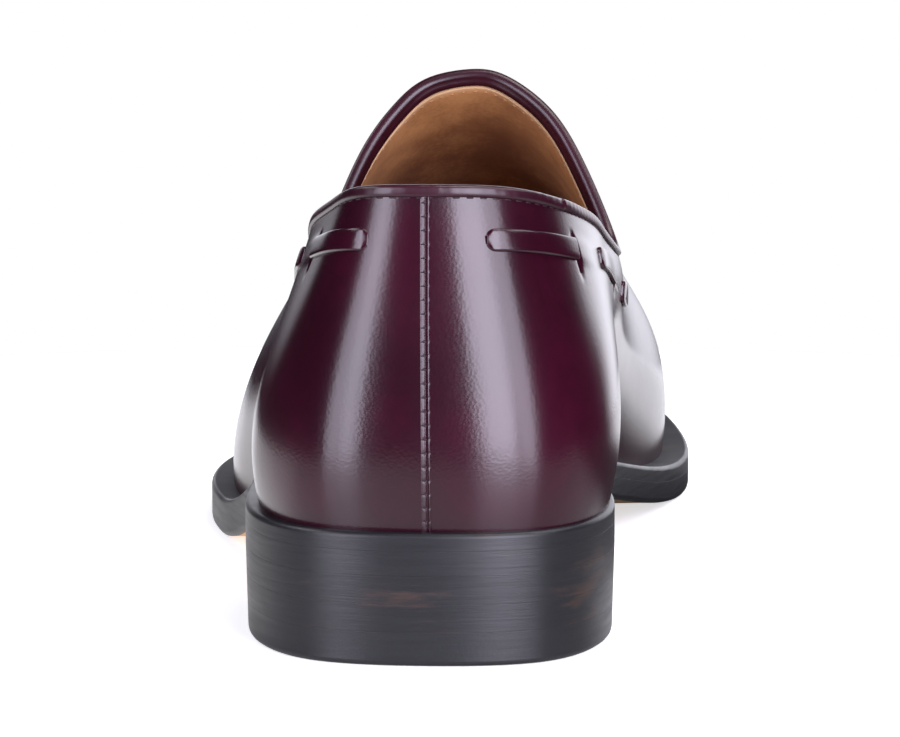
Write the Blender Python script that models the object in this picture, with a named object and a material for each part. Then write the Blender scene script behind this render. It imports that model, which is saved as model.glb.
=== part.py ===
"""Left loafer in smooth leather: welted sole, stacked heel, lasted upper with a standing tongue.

Lengths are in millimetres until a mesh is made. X runs from the outer (lateral) side to the inner
(medial) side, Y from the back of the heel to the toe, Z up from the floor.
"""

from collections import namedtuple

import bmesh
import bpy
import numpy as np

MM = 0.001

# Driving dimensions
LENGTH = 300.0
TOE_SWING = 6.0
TOE_SWING_START = 240.0
TONGUE_SWING = 4.0
TONGUE_SWING_START = 60.0
TONGUE_SWING_END = 128.0
GAP = 0.3

# Sole and heel, from the floor up at the heel
TOP_PIECE = 6.6
LIFT = 5.2
LIFT_COUNT = 2
OUTSOLE = 4.7
WELT = 3.4
INSOLE_RISE = 1.6
HEEL_TAPER = 0.15
HEEL_BREAST = 76.0
BREAST_HOLLOW = 3.0
SHANK_START = 88.0
SHANK_END = 192.0
SHANK_TWIST = 32.0
SHANK_TWIST_REACH = 40.0
TREAD_END = 226.0
TOE_SPRING = 11.0
EDGE_ROUND = 0.9
SPINE_START = 36.0
SPINE_END = 258.0

# Upper
WALL = 2.2
BACK_SEAM_SIDE = 1.2
BACK_SEAM_WIDTH = 1.7
BACK_SEAM_HEIGHT = 0.45
BINDING_OUTSIDE = 2.6
BINDING_INSIDE = 3.6
BINDING_PROUD = 0.4
BINDING_SKIN = 0.7
BINDING_CAP = 0.8
BINDING_ROUND = 0.8

# Lace, measured along its line from the back seam
LACE_WIDTH = 4.5
LACE_THICK = 1.1
LACE_ROUND = 0.5
LACE_END_THIN = 0.5
LACE_FIRST_SLOT = 12.0
LACE_RUN = 28.0
LACE_HIDDEN = 22.0
LACE_RUNS_EACH_SIDE = 3
LACE_STEPS = 9
LACE_PROBES = 400

# Mesh density
AROUND = 80
UP_THE_WALL = 12
CURVE_STEPS = 48
BREAST_STEPS = 9
PLATE_SHARES = (0.2, 0.4, 0.6, 0.8)
RIDGE_SHARES = (-1.5, -0.6, 0.6, 1.5)
SHARP_ANGLE = 40.0
PROBE = 0.4

# One row for each section from the back of the heel to the toe.
# sole_y, lateral, medial: the sole's edge. margin_*: how far the welt stands out past the upper.
# top_y, top_lateral, top_medial, top_z: the topline, which climbs the tongue after the throat.
# rise, flare: lower handle of the wall's curve, up and outward from the welt.
# lean, swell_*, drop: upper handle, the share of the way back to the welt, outward and down.
# lace: how far the lace's line lies below the topline.
Section = namedtuple(
    "Section",
    "name sole_y lateral medial margin_lateral margin_medial top_y top_lateral top_medial top_z"
    " rise flare lean swell_lateral swell_medial drop lace",
)
SECTIONS = [
    Section("back", 0, 0, 0, 2, 2, 8, 0, 0, 93.5, 21, 4, 0.30, 4, 4, 26, 10.7),
    Section("heel_round", 6.4, 23.2, 25, 2.2, 1.4, 12.8, 12.6, 16.6, 92.6, 21, 4.6, 0.30, 4, 4, 26, 10.7),
    Section("heel_side", 24, 34.2, 34.6, 2.4, 1, 25.4, 17.6, 25.4, 89.4, 21, 5.2, 0.30, 3.8, 4, 26, 10.3),
    Section("seat", 50, 38, 36.6, 2.8, 1.2, 46, 22.4, 30.8, 84.8, 20, 5, 0.30, 4.2, 5, 26, 9.7),
    Section("waist", 95, 38.8, 31, 3.4, 2.6, 68, 25.6, 33.4, 78.8, 19, 4, 0.30, 4.2, 7.5, 24, 10.2),
    Section("arch", 130, 44.8, 31.5, 4, 4.4, 89, 28, 34, 73.2, 19, 3, 0.30, 2, 8.5, 18, 14.2),
    Section("joint", 165, 54.2, 38.5, 4.8, 5.6, 106, 28.8, 32.6, 71.4, 20, 2.2, 0.32, 0, 5, 14, 22.5),
    Section("ball", 200, 57.8, 46.5, 5.2, 6.2, 113.5, 26.2, 28.6, 79.5, 24, 2.2, 0.34, 0, 0, 22, 35),
    Section("tread", 232, 53.5, 51, 5.2, 6.2, 119.5, 21.6, 22.8, 90.5, 28, 3.4, 0.39, 2, -1, 36, 50),
    Section("toe_side", 265, 40, 45, 5.2, 5.8, 124.5, 15.2, 15.8, 99.5, 33, 7, 0.44, 5, 1.5, 50, 40),
    Section("toe_round", 289, 21, 29, 5.2, 5.4, 127.8, 8, 8, 104.8, 37, 9, 0.46, 3, 2, 60, 40),
    Section("tip", LENGTH, 0, 0, 5.2, 5.2, 128.8, 0, 0, 106.3, 39, 9, 0.46, 0, 0, 62, 40),
]


class ClosedCurve:
    """Smooth periodic curve through one value at each knot."""

    def __init__(self, knots, period, values):
        self.knots = np.append(knots, knots[0] + period)
        self.values = np.append(values, values[0])
        count = len(knots)
        span = np.diff(self.knots)
        step = np.diff(self.values)
        matrix = np.zeros((count, count))
        right = np.zeros(count)
        for i in range(count):
            before = 1 / span[i - 1]
            after = 1 / span[i]
            matrix[i, i - 1] = before
            matrix[i, i] = 2 * (before + after)
            matrix[i, (i + 1) % count] = after
            right[i] = 3 * (step[i - 1] * before**2 + step[i] * after**2)
        slopes = np.linalg.solve(matrix, right)
        self.slopes = np.append(slopes, slopes[0])

    def __call__(self, at):
        start = self.knots[0]
        at = start + np.mod(np.asarray(at, float) - start, self.knots[-1] - start)
        i = np.clip(np.searchsorted(self.knots, at, side="right") - 1, 0, len(self.knots) - 2)
        width = self.knots[i + 1] - self.knots[i]
        t = (at - self.knots[i]) / width
        return (
            self.values[i] * (1 + 2 * t) * (1 - t) ** 2
            + self.slopes[i] * width * t * (1 - t) ** 2
            + self.values[i + 1] * t**2 * (3 - 2 * t)
            + self.slopes[i + 1] * width * t**2 * (t - 1)
        )


def smooth(low, high, value):
    """0 below low, 1 above high, with an even slope between."""
    t = np.clip((value - low) / (high - low), 0.0, 1.0)
    return t * t * (3 - 2 * t)


def toe_swing(y):
    return TOE_SWING * smooth(TOE_SWING_START, LENGTH, y)


def tongue_swing(y):
    return TONGUE_SWING * smooth(TONGUE_SWING_START, TONGUE_SWING_END, y)


class Last:
    """The foot's form as curves round the shoe: lateral sections out to the toe, medial ones back."""

    def __init__(self):
        inner = SECTIONS[-2:0:-1]
        ring = SECTIONS + inner
        edge = np.array([-s.lateral for s in SECTIONS] + [s.medial for s in inner])
        top = np.array([-s.top_lateral for s in SECTIONS] + [s.top_medial for s in inner])
        columns = {name: np.array([getattr(s, name) for s in ring]) for name in Section._fields[1:]}
        columns["sole_x"] = edge + toe_swing(columns["sole_y"])
        columns["top_x"] = top + tongue_swing(columns["top_y"])
        for name in ("margin", "swell"):
            lateral = [getattr(s, f"{name}_lateral") for s in SECTIONS]
            medial = [getattr(s, f"{name}_medial") for s in inner]
            columns[name] = np.array(lateral + medial)
        chords = np.hypot(
            np.diff(columns["sole_x"], append=columns["sole_x"][0]),
            np.diff(columns["sole_y"], append=columns["sole_y"][0]),
        )
        knots = np.append(0.0, np.cumsum(chords)[:-1])
        self.period = chords.sum()
        self.toe = knots[len(SECTIONS) - 1]
        self.column = {name: ClosedCurve(knots, self.period, values) for name, values in columns.items()}

    def plan(self, at):
        return np.stack([self.column["sole_x"](at), self.column["sole_y"](at)], axis=-1)

    def outward(self, at):
        """Plan direction square to the sole's edge, away from the foot."""
        run = self.plan(np.asarray(at) + PROBE) - self.plan(np.asarray(at) - PROBE)
        out = np.stack([-run[..., 1], run[..., 0]], axis=-1)
        return out / np.linalg.norm(out, axis=-1, keepdims=True)

    def sole_edge(self, at, inset):
        """Plan of the sole's edge, moved inward by inset."""
        return self.plan(at) - self.outward(at) * np.reshape(inset, (-1, 1))

    def wall_curve(self, at):
        """Points up the upper's outer face from welt to topline, one line for each place in at."""
        get = {name: curve(at) for name, curve in self.column.items()}
        out = self.outward(at)
        foot = self.sole_edge(at, get["margin"])
        foot_z = welt_top(foot) + GAP
        top = np.column_stack([get["top_x"], get["top_y"]])
        low = foot + out * get["flare"][:, None]
        high = top + (foot - top) * get["lean"][:, None] + out * get["swell"][:, None]
        handles = [
            np.column_stack([foot, foot_z]),
            np.column_stack([low, foot_z + get["rise"]]),
            np.column_stack([high, get["top_z"] - get["drop"]]),
            np.column_stack([top, get["top_z"]]),
        ]
        t = np.linspace(0.0, 1.0, CURVE_STEPS + 1)
        weights = [(1 - t) ** 3, 3 * t * (1 - t) ** 2, 3 * t**2 * (1 - t), t**3]
        return sum(h[:, None, :] * w[None, :, None] for h, w in zip(handles, weights))


class Wall:
    """The upper's outer face, read by place round the shoe and by distance down from the topline."""

    def __init__(self, last, at):
        at = np.asarray(at, float)
        self.lines = last.wall_curve(at)
        around = last.wall_curve(at + PROBE) - last.wall_curve(at - PROBE)
        normals = np.cross(np.gradient(self.lines, axis=1), around)
        self.normals = normals / np.linalg.norm(normals, axis=-1, keepdims=True)
        steps = np.linalg.norm(np.diff(self.lines, axis=1), axis=-1)
        climbed = np.concatenate([np.zeros((len(at), 1)), np.cumsum(steps, axis=1)], axis=1)
        self.length = climbed[:, -1]
        self.down = self.length[:, None] - climbed

    def down_at(self, share):
        """Distance below the topline at a share of the way up each curve."""
        place = share * CURVE_STEPS
        low = min(int(place), CURVE_STEPS - 1)
        return self.down[:, low] + (self.down[:, low + 1] - self.down[:, low]) * (place - low)

    def at(self, down, offset):
        """One point on each line, down from the topline and off the face by offset."""
        down = np.broadcast_to(down, self.length.shape)
        offset = np.broadcast_to(offset, self.length.shape)
        points = np.empty((len(self.lines), 3))
        for i, line in enumerate(self.lines):
            place = np.interp(-down[i], -self.down[i], np.arange(CURVE_STEPS + 1))
            low = min(int(place), CURVE_STEPS - 1)
            share = place - low
            normal = self.normals[i, low] * (1 - share) + self.normals[i, low + 1] * share
            rise = line[low + 1] - line[low]
            above = max(-down[i], 0.0) * rise / np.linalg.norm(rise)
            points[i] = line[low] + rise * share + above + normal / np.linalg.norm(normal) * offset[i]
        return points


def heel_top():
    return TOP_PIECE + GAP + LIFT_COUNT * (LIFT + GAP)


def shank_end(x):
    """Where the sole comes down to the floor: further back on the outer side than under the arch."""
    return SHANK_END + SHANK_TWIST * (2 * smooth(-SHANK_TWIST_REACH, SHANK_TWIST_REACH, x) - 1)


def sole_bottom(plan):
    """Underside of the outsole: level on the heel, down the shank, level at the tread, up at the toe."""
    x, y = plan[:, 0], plan[:, 1]
    shank = heel_top() * (1 - smooth(SHANK_START, shank_end(x), y))
    spring = np.clip((y - TREAD_END) / (LENGTH - TREAD_END), 0.0, None)
    return shank + TOE_SPRING * spring**2


def outsole_top(plan):
    return sole_bottom(plan) + OUTSOLE


def welt_bottom(plan):
    return outsole_top(plan) + GAP


def welt_top(plan):
    return welt_bottom(plan) + WELT


def insole_top(plan):
    return welt_top(plan) + INSOLE_RISE


def seam_place(last):
    return last.period - BACK_SEAM_SIDE


def places_round(last):
    """Places round the shoe, as many on the lateral side as on the medial side."""
    share = np.arange(AROUND // 2) / (AROUND // 2)
    return np.concatenate([last.toe * share, last.toe + (last.period - last.toe) * share])


def with_seam(last, at):
    """The same places with four more on the back seam's ridge."""
    ridge = seam_place(last) + np.array(RIDGE_SHARES) * BACK_SEAM_WIDTH / 2
    return np.sort(np.concatenate([at, ridge]))


def new_object(name, data, material):
    obj = bpy.data.objects.new(name, data)
    data.materials.append(material)
    bpy.data.collections["loafer"].objects.link(obj)
    obj.parent = bpy.data.objects["loafer_root"]
    return obj


def mesh_from(name, points, faces, material):
    """Closed smooth-shaded mesh from points in millimetres."""
    mesh = bpy.data.meshes.new(name)
    mesh.from_pydata((points * MM).tolist(), [], faces)
    shape = bmesh.new()
    shape.from_mesh(mesh)
    bmesh.ops.recalc_face_normals(shape, faces=shape.faces)
    shape.to_mesh(mesh)
    shape.free()
    mesh.shade_smooth()
    mesh.set_sharp_from_angle(angle=np.radians(SHARP_ANGLE))
    return new_object(name, mesh, material)


def grid_faces(around, along, close_along):
    """Quads of a grid that closes round the shoe and, when asked, along its section too."""
    faces = []
    for i in range(around):
        here = i * along
        there = (i + 1) % around * along
        for j in range(along if close_along else along - 1):
            k = (j + 1) % along
            faces.append((here + j, there + j, there + k, here + k))
    return faces


def ring_solid(name, loops, material):
    """Solid ring: each loop runs round the shoe, and the loops together go once round its section."""
    points = np.stack(loops, axis=1)
    around, along = points.shape[:2]
    return mesh_from(name, points.reshape(-1, 3), grid_faces(around, along, True), material)


def plate_solid(name, loops, material):
    """Solid plate: loops run from the middle of its underside out to the edge and back in on top."""
    points = np.stack(loops, axis=1)
    around, along = points.shape[:2]
    faces = grid_faces(around, along, False)
    for side in (0, along - 1):
        for i in range(around // 2):
            cell = [i, i + 1, (around - i - 1) % around, (around - i) % around]
            faces.append([k * along + side for k in dict.fromkeys(cell)])
    return mesh_from(name, points.reshape(-1, 3), faces, material)


def flat_solid(name, outline, bottom, thick, material):
    """Level slab with the given outline, as a filled curve given thickness."""
    curve = bpy.data.curves.new(name, "CURVE")
    curve.dimensions = "2D"
    curve.fill_mode = "BOTH"
    curve.extrude = thick / 2 * MM
    spline = curve.splines.new("POLY")
    spline.points.add(len(outline) - 1)
    for point, (x, y) in zip(spline.points, outline):
        point.co = (x * MM, y * MM, 0.0, 1.0)
    spline.use_cyclic_u = True
    obj = new_object(name, curve, material)
    obj.location.z = (bottom + thick / 2) * MM
    return obj


def strip_solid(name, loops, material):
    """Solid strip: each loop runs along it, the loops go once round its section, and both ends are capped."""
    points = np.stack(loops, axis=1)
    count, around = points.shape[:2]
    faces = grid_faces(count, around, True)[: (count - 1) * around]
    faces.append(range(around))
    faces.append(range((count - 1) * around, count * around))
    return mesh_from(name, points.reshape(-1, 3), faces, material)


def finish(name, colour, roughness):
    material = bpy.data.materials.new(name)
    material.use_nodes = True
    shader = material.node_tree.nodes["Principled BSDF"]
    shader.inputs["Base Color"].default_value = (*colour, 1.0)
    shader.inputs["Roughness"].default_value = roughness
    shader.inputs["Metallic"].default_value = 0.0
    return material


def at_height(plan, height):
    return np.column_stack([plan, height(plan)])


def toward_spine(plan, share):
    """Outline drawn in toward the line from the heel's middle to the toe's middle."""
    middle = np.column_stack([toe_swing(plan[:, 1]), np.clip(plan[:, 1], SPINE_START, SPINE_END)])
    return middle + (plan - middle) * share


def make_outsole(last, at, material):
    edge = last.sole_edge(at, 0.0)
    eased = last.sole_edge(at, EDGE_ROUND)
    loops = [at_height(toward_spine(eased, share), sole_bottom) for share in PLATE_SHARES]
    loops.append(at_height(eased, sole_bottom))
    loops.append(at_height(edge, lambda plan: sole_bottom(plan) + EDGE_ROUND))
    loops.append(at_height(edge, outsole_top))
    loops += [at_height(toward_spine(edge, share), outsole_top) for share in reversed(PLATE_SHARES)]
    return plate_solid("outsole", loops, material)


def make_welt(last, at, material):
    outer = last.sole_edge(at, 0.0)
    eased = last.sole_edge(at, EDGE_ROUND)
    inner = last.sole_edge(at, last.column["margin"](at) + WALL + GAP)
    loops = [
        at_height(inner, welt_bottom),
        at_height(outer, welt_bottom),
        at_height(outer, lambda plan: welt_top(plan) - EDGE_ROUND),
        at_height(eased, welt_top),
        at_height(inner, welt_top),
    ]
    return ring_solid("welt", loops, material)


def make_insole(last, at, material):
    edge = last.sole_edge(at, last.column["margin"](at) + WALL + 2 * GAP)
    loops = [at_height(toward_spine(edge, share), welt_bottom) for share in PLATE_SHARES]
    loops.append(at_height(edge, welt_bottom))
    loops.append(at_height(edge, insole_top))
    loops += [at_height(toward_spine(edge, share), insole_top) for share in reversed(PLATE_SHARES)]
    return plate_solid("insole", loops, material)


def heel_outline(last, at, inset):
    """Sole's edge round the heel, closed by the hollowed breast."""
    edge = last.sole_edge(at, inset)
    behind_breast = edge[:, 1] < HEEL_BREAST
    lateral = edge[behind_breast & (at < last.toe)]
    medial = edge[behind_breast & (at >= last.toe)]
    share = np.linspace(0.0, 1.0, BREAST_STEPS)
    x = lateral[-1, 0] * (1 - share) + medial[0, 0] * share
    y = HEEL_BREAST - BREAST_HOLLOW * 4 * share * (1 - share)
    return np.concatenate([medial, lateral, np.column_stack([x, y])])


def make_heel(last, at, leather, rubber):
    inset = HEEL_TAPER * (LIFT_COUNT + 1)
    flat_solid("heel_top_piece", heel_outline(last, at, inset), 0.0, TOP_PIECE, rubber)
    bottom = TOP_PIECE + GAP
    for number in range(LIFT_COUNT, 0, -1):
        outline = heel_outline(last, at, HEEL_TAPER * number)
        flat_solid(f"heel_lift_{number}", outline, bottom, LIFT, leather)
        bottom += LIFT + GAP


def seam_ridge(last, at):
    """Height of the back seam's ridge at each place round the shoe."""
    from_seam = np.abs(at - seam_place(last))
    return BACK_SEAM_HEIGHT * (from_seam < BACK_SEAM_WIDTH / 2)


def make_upper(last, at, material):
    """Hollow wall from welt to topline, stepped in under the binding on both faces."""
    wall = Wall(last, at)
    shares = np.linspace(0.0, 1.0, UP_THE_WALL)
    below_outside = BINDING_OUTSIDE + GAP
    below_inside = BINDING_INSIDE + GAP
    recess = BINDING_SKIN + GAP - BINDING_PROUD
    thinned = WALL - BINDING_SKIN + GAP
    top = BINDING_CAP + GAP

    def downs(below):
        fit = (wall.length - below) / wall.length
        return [below + wall.down_at(share) * fit for share in shares]

    loops = [wall.at(down, seam_ridge(last, at)) for down in downs(below_outside)]
    loops.append(wall.at(below_outside, -recess))
    loops.append(wall.at(top, -recess))
    loops.append(wall.at(top, -thinned))
    loops.append(wall.at(below_inside, -thinned))
    loops += [wall.at(down, -WALL) for down in reversed(downs(below_inside))]
    return ring_solid("upper", loops, material)


def make_binding(last, at, material):
    """Rolled strip over the topline: a leg outside, a round cap and a longer leg inside."""
    wall = Wall(last, at)
    outer = BINDING_PROUD
    outer_back = BINDING_PROUD - BINDING_SKIN
    inner_back = -WALL + BINDING_SKIN - 2 * GAP
    inner = inner_back - BINDING_SKIN
    section = [
        (BINDING_OUTSIDE, outer_back),
        (BINDING_OUTSIDE, outer),
        (BINDING_ROUND, outer),
        (0.0, outer - BINDING_ROUND),
        (0.0, inner + BINDING_ROUND),
        (BINDING_ROUND, inner),
        (BINDING_INSIDE, inner),
        (BINDING_INSIDE, inner_back),
        (BINDING_CAP, inner_back),
        (BINDING_CAP, outer_back),
    ]
    return ring_solid("collar_binding", [wall.at(down, offset) for down, offset in section], material)


def lace_places(last, side, distances):
    """Places round the shoe where the lace's line has run these distances from the back seam."""
    reach = np.linspace(0.0, last.toe if side < 0 else last.period - last.toe, LACE_PROBES)
    at = seam_place(last) - side * reach
    line = Wall(last, at).at(last.column["lace"](at), 0.0)
    steps = np.linalg.norm(np.diff(line, axis=0), axis=1)
    return np.interp(distances, np.append(0.0, np.cumsum(steps)), at * -side) * -side


def lace_section():
    """Section of the flat lace as (across, height) pairs, with its outer corners rounded."""
    half = LACE_WIDTH / 2
    side = [(half, 0.0), (half, LACE_THICK - LACE_ROUND), (half - LACE_ROUND, LACE_THICK)]
    return side + [(-across, height) for across, height in reversed(side)]


def make_lace(last, material):
    """Visible runs of the flat lace on each side, lying on the upper between their slots."""
    for side, side_name in ((-1, "lateral"), (1, "medial")):
        for number in range(LACE_RUNS_EACH_SIDE):
            start = LACE_FIRST_SLOT + number * (LACE_RUN + LACE_HIDDEN)
            at = lace_places(last, side, np.linspace(start, start + LACE_RUN, LACE_STEPS))
            wall = Wall(last, at)
            line = wall.at(last.column["lace"](at), GAP)
            out = wall.at(last.column["lace"](at), GAP + 1.0) - line
            across = np.cross(np.gradient(line, axis=0), out)
            across /= np.linalg.norm(across, axis=1, keepdims=True)
            thin = np.ones((LACE_STEPS, 1))
            thin[[0, -1]] = LACE_END_THIN
            loops = [line + across * aside + out * height * thin for aside, height in lace_section()]
            strip_solid(f"lace_{side_name}_{number + 1}", loops, material)


def main():
    for obj in list(bpy.data.objects):
        bpy.data.objects.remove(obj)
    collection = bpy.data.collections.new("loafer")
    bpy.context.scene.collection.children.link(collection)
    root = bpy.data.objects.new("loafer_root", None)
    collection.objects.link(root)

    burgundy = finish("burgundy_calf", (0.075, 0.012, 0.028), 0.3)
    lace_calf = finish("lace_calf", (0.07, 0.012, 0.026), 0.35)
    black = finish("black_edge", (0.012, 0.012, 0.015), 0.4)
    tan = finish("tan_leather", (0.55, 0.29, 0.11), 0.6)
    rubber = finish("black_rubber", (0.014, 0.014, 0.016), 0.6)

    last = Last()
    at = places_round(last)
    edge = last.sole_edge(at, 0.0)
    middle = (edge.min(axis=0) + edge.max(axis=0)) / 2
    root.location = (-middle[0] * MM, -middle[1] * MM, 0.0)

    make_outsole(last, at, black)
    make_welt(last, at, black)
    make_insole(last, at, tan)
    make_heel(last, at, black, rubber)
    make_upper(last, with_seam(last, at), burgundy)
    make_binding(last, with_seam(last, at), burgundy)
    make_lace(last, lace_calf)


main()
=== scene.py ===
"""Dresses the solids of a left loafer: polished burgundy calf, tan lining, black edges and thread.

Lengths are in metres. X runs to the inner (medial) side, Y from the heel to the toe, Z up from the floor.
"""

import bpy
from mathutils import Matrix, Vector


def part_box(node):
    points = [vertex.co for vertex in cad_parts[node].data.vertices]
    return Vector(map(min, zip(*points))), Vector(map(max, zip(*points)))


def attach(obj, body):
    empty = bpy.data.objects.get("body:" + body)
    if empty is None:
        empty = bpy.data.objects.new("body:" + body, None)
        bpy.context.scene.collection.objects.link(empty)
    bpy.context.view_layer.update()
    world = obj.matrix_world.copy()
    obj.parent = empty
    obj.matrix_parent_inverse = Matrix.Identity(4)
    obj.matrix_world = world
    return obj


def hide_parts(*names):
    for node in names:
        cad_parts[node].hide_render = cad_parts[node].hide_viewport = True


bl_info = {
    "name": "Loafer looks",
    "version": (1, 0, 0),
    "blender": (4, 5, 0),
    "location": "3D View > Sidebar > Loafer",
    "description": "Dresses the solids of a left loafer in leather, thread and edge ink",
    "category": "Object",
}

from collections import namedtuple

import bmesh
import bpy
import numpy as np
from bpy.props import FloatProperty, FloatVectorProperty, IntProperty, PointerProperty
from mathutils import Vector

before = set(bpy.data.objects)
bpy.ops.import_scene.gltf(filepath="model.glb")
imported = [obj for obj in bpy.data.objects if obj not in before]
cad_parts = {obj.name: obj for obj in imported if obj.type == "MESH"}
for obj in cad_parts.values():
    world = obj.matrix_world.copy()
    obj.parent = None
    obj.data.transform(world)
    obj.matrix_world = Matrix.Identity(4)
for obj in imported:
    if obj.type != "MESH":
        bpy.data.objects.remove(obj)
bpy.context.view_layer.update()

MM = 0.001
BODY = "root"

# Mesh density
CURVE_STEPS = 160  # up the wall
PROBE = 0.4 * MM  # distance over which a direction is measured
AROUND = 400  # places round the upper
SOLE_AROUND = 360  # places round the sole
LINE_PROBES = 1600  # places at which a line round the shoe is measured
PLATE_SHARES = (0.25, 0.5, 0.75, 0.95)  # loops of a plate's face, from its middle line out
EDGE_STEPS = 5  # points round a corner of an edge
EDGE_HOLD = 0.12 * MM  # distance of the next point from a rounded corner
STITCH_STEPS = np.linspace(-1.0, 1.0, 9)  # along one stitch
STITCH_SIDES = 8  # round one stitch
SHARP_ANGLE = 50.0  # degrees from which an edge is shaded sharp

# Form of a stitch's ends: the share of the section that they lose, and how many radii they sink
STITCH_TAPER = 0.8
STITCH_SINK = 2.2

# Where the tongue and its apex begin and are reached, as shares of the way from the back to the apex
TONGUE = (0.35, 0.62)
APEX = (0.72, 1.0)

# One row for each section from the back of the heel to the toe, in millimetres.
# sole_y, lateral, medial: the sole's edge. margin_*: how far the welt stands out past the upper.
# top_y, top_lateral, top_medial, top_z: the topline, which climbs the tongue after the throat.
# rise, flare: lower handle of the wall's curve, up and outward from the welt.
# lean, swell_*, drop: upper handle, the share of the way back to the welt, outward and down.
# lace: how far the lace's line lies below the topline.
Section = namedtuple(
    "Section",
    "name sole_y lateral medial margin_lateral margin_medial top_y top_lateral top_medial top_z"
    " rise flare lean swell_lateral swell_medial drop lace",
)
SHARE_COLUMNS = ("lean",)
SECTIONS = [
    Section("back", 0, 0, 0, 2, 2, 8, 0, 0, 93.5, 21, 4, 0.30, 4, 4, 26, 10.7),
    Section("heel_round", 6.4, 23.2, 25, 2.2, 1.4, 12.8, 12.6, 16.6, 92.6, 21, 4.6, 0.30, 4, 4, 26, 10.7),
    Section("heel_side", 24, 34.2, 34.6, 2.4, 1, 25.4, 17.6, 25.4, 89.4, 21, 5.2, 0.30, 3.8, 4, 26, 10.3),
    Section("seat", 50, 38, 36.6, 2.8, 1.2, 46, 22.4, 30.8, 84.8, 20, 5, 0.30, 4.2, 5, 26, 9.7),
    Section("waist", 95, 38.8, 31, 3.4, 2.6, 68, 25.6, 33.4, 78.8, 19, 4, 0.30, 4.2, 7.5, 24, 10.2),
    Section("arch", 130, 44.8, 31.5, 4, 4.4, 89, 28, 34, 73.2, 19, 3, 0.30, 2, 8.5, 18, 14.2),
    Section("joint", 165, 54.2, 38.5, 4.8, 5.6, 106, 28.8, 32.6, 71.4, 20, 2.2, 0.32, 0, 5, 14, 22.5),
    Section("ball", 200, 57.8, 46.5, 5.2, 6.2, 113.5, 26.2, 28.6, 79.5, 24, 2.2, 0.34, 0, 0, 22, 35),
    Section("tread", 232, 53.5, 51, 5.2, 6.2, 119.5, 21.6, 22.8, 90.5, 28, 3.4, 0.39, 2, -1, 36, 50),
    Section("toe_side", 265, 40, 45, 5.2, 5.8, 124.5, 15.2, 15.8, 99.5, 33, 7, 0.44, 5, 1.5, 50, 40),
    Section("toe_round", 289, 21, 29, 5.2, 5.4, 127.8, 8, 8, 104.8, 37, 9, 0.46, 3, 2, 60, 40),
    Section("tip", 300, 0, 0, 5.2, 5.2, 128.8, 0, 0, 106.3, 39, 9, 0.46, 0, 0, 62, 40),
]


# Properties


def size(name, description, millimetres):
    return FloatProperty(
        name=name, description=description, default=millimetres * MM, unit="LENGTH", precision=5
    )


def colour(name, description, rgb):
    return FloatVectorProperty(
        name=name, description=description, default=rgb, subtype="COLOR", size=3, min=0.0, max=1.0
    )


def factor(name, description, share):
    return FloatProperty(
        name=name, description=description, default=share, subtype="FACTOR", min=0.0, max=1.0
    )


def position(name, description, metres):
    return FloatVectorProperty(name=name, description=description, default=metres, subtype="TRANSLATION")


class LoaferSole(bpy.types.PropertyGroup):
    """Outsole, welt, heel and insole."""

    length: size("Length", "Outsole from the back of the heel to the toe", 300)
    toe_swing: size("Toe swing", "How far the toe turns to the inner side", 6)
    toe_swing_start: size("Toe swing start", "Where the toe begins to turn", 240)
    gap: size("Clearance", "Space left between the solids of the frame", 0.3)
    top_piece: size("Top piece", "Thickness of the heel's rubber top piece", 6.6)
    lift: size("Lift", "Thickness of one heel lift", 5.2)
    lift_count: IntProperty(name="Lifts", description="Leather lifts in the heel", default=2, min=1)
    outsole: size("Outsole", "Thickness of the outsole", 4.7)
    face: size("Sole face", "Depth of the tan face let into the outsole", 0.5)
    face_border: size("Sole border", "Width of the inked border round the sole face", 1.4)
    welt: size("Welt", "Thickness of the welt", 3.4)
    insole_rise: size("Insole rise", "How far the insole stands above the welt", 1.6)
    insole_cup: size("Insole cup", "How far the insole's edge curls up", 0.7)
    heel_taper: size("Heel taper", "How far the heel draws in from the sole to the floor", 0.5)
    heel_breast: size("Heel breast", "Distance of the heel's front from its back", 76)
    breast_hollow: size("Breast hollow", "Hollow of the heel's front", 3)
    shank_start: size("Shank start", "Where the sole leaves the heel", 88)
    shank_end: size("Shank end", "Where the sole reaches the floor", 192)
    shank_twist: size("Shank twist", "How much further forward that is under the arch", 32)
    shank_reach: size("Shank reach", "Distance from the middle at which the twist is full", 40)
    tread_end: size("Tread end", "Where the sole lifts off toward the toe", 226)
    toe_spring: size("Toe spring", "Height of the toe off the floor", 11)
    edge_round: size("Edge round", "Rounding of the welt's and the heel's outer edges", 1.0)
    layer_round: size("Layer round", "Rounding where two layers meet", 0.03)
    spine_start: size("Spine start", "Back end of the sole's middle line", 36)
    spine_end: size("Spine end", "Front end of the sole's middle line", 258)


class LoaferUpper(bpy.types.PropertyGroup):
    """Leather, lining and back seam."""

    tongue_swing: size("Tongue swing", "How far the tongue turns to the inner side", 4)
    tongue_swing_start: size("Tongue swing start", "Where the topline begins to turn", 60)
    tongue_swing_end: size("Tongue swing end", "Where the tongue has turned", 128)
    leather: size("Leather", "Thickness of the outer leather", 1.05)
    lining_out: size("Lining back", "How far the lining's back lies inside the outer face", 1.75)
    lining_in: size("Lining face", "How far the lining's face lies inside the outer face", 2.5)
    seam_side: size("Seam side", "How far the back seam lies to the inner side", 1.2)
    lip_wide: size("Wide lip", "Width of the back seam's raised lip", 1.3)
    lip_narrow: size("Narrow lip", "Width of the back seam's lower lip", 0.75)
    lip_height: size("Lip height", "Height of the raised lip", 0.4)
    lip_crest: size("Lip crest", "Distance of a lip's crest from the groove's middle", 0.3)
    lip_notch: factor("Lip notch", "How far a stitch pulls the lip down", 0.3)


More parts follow.
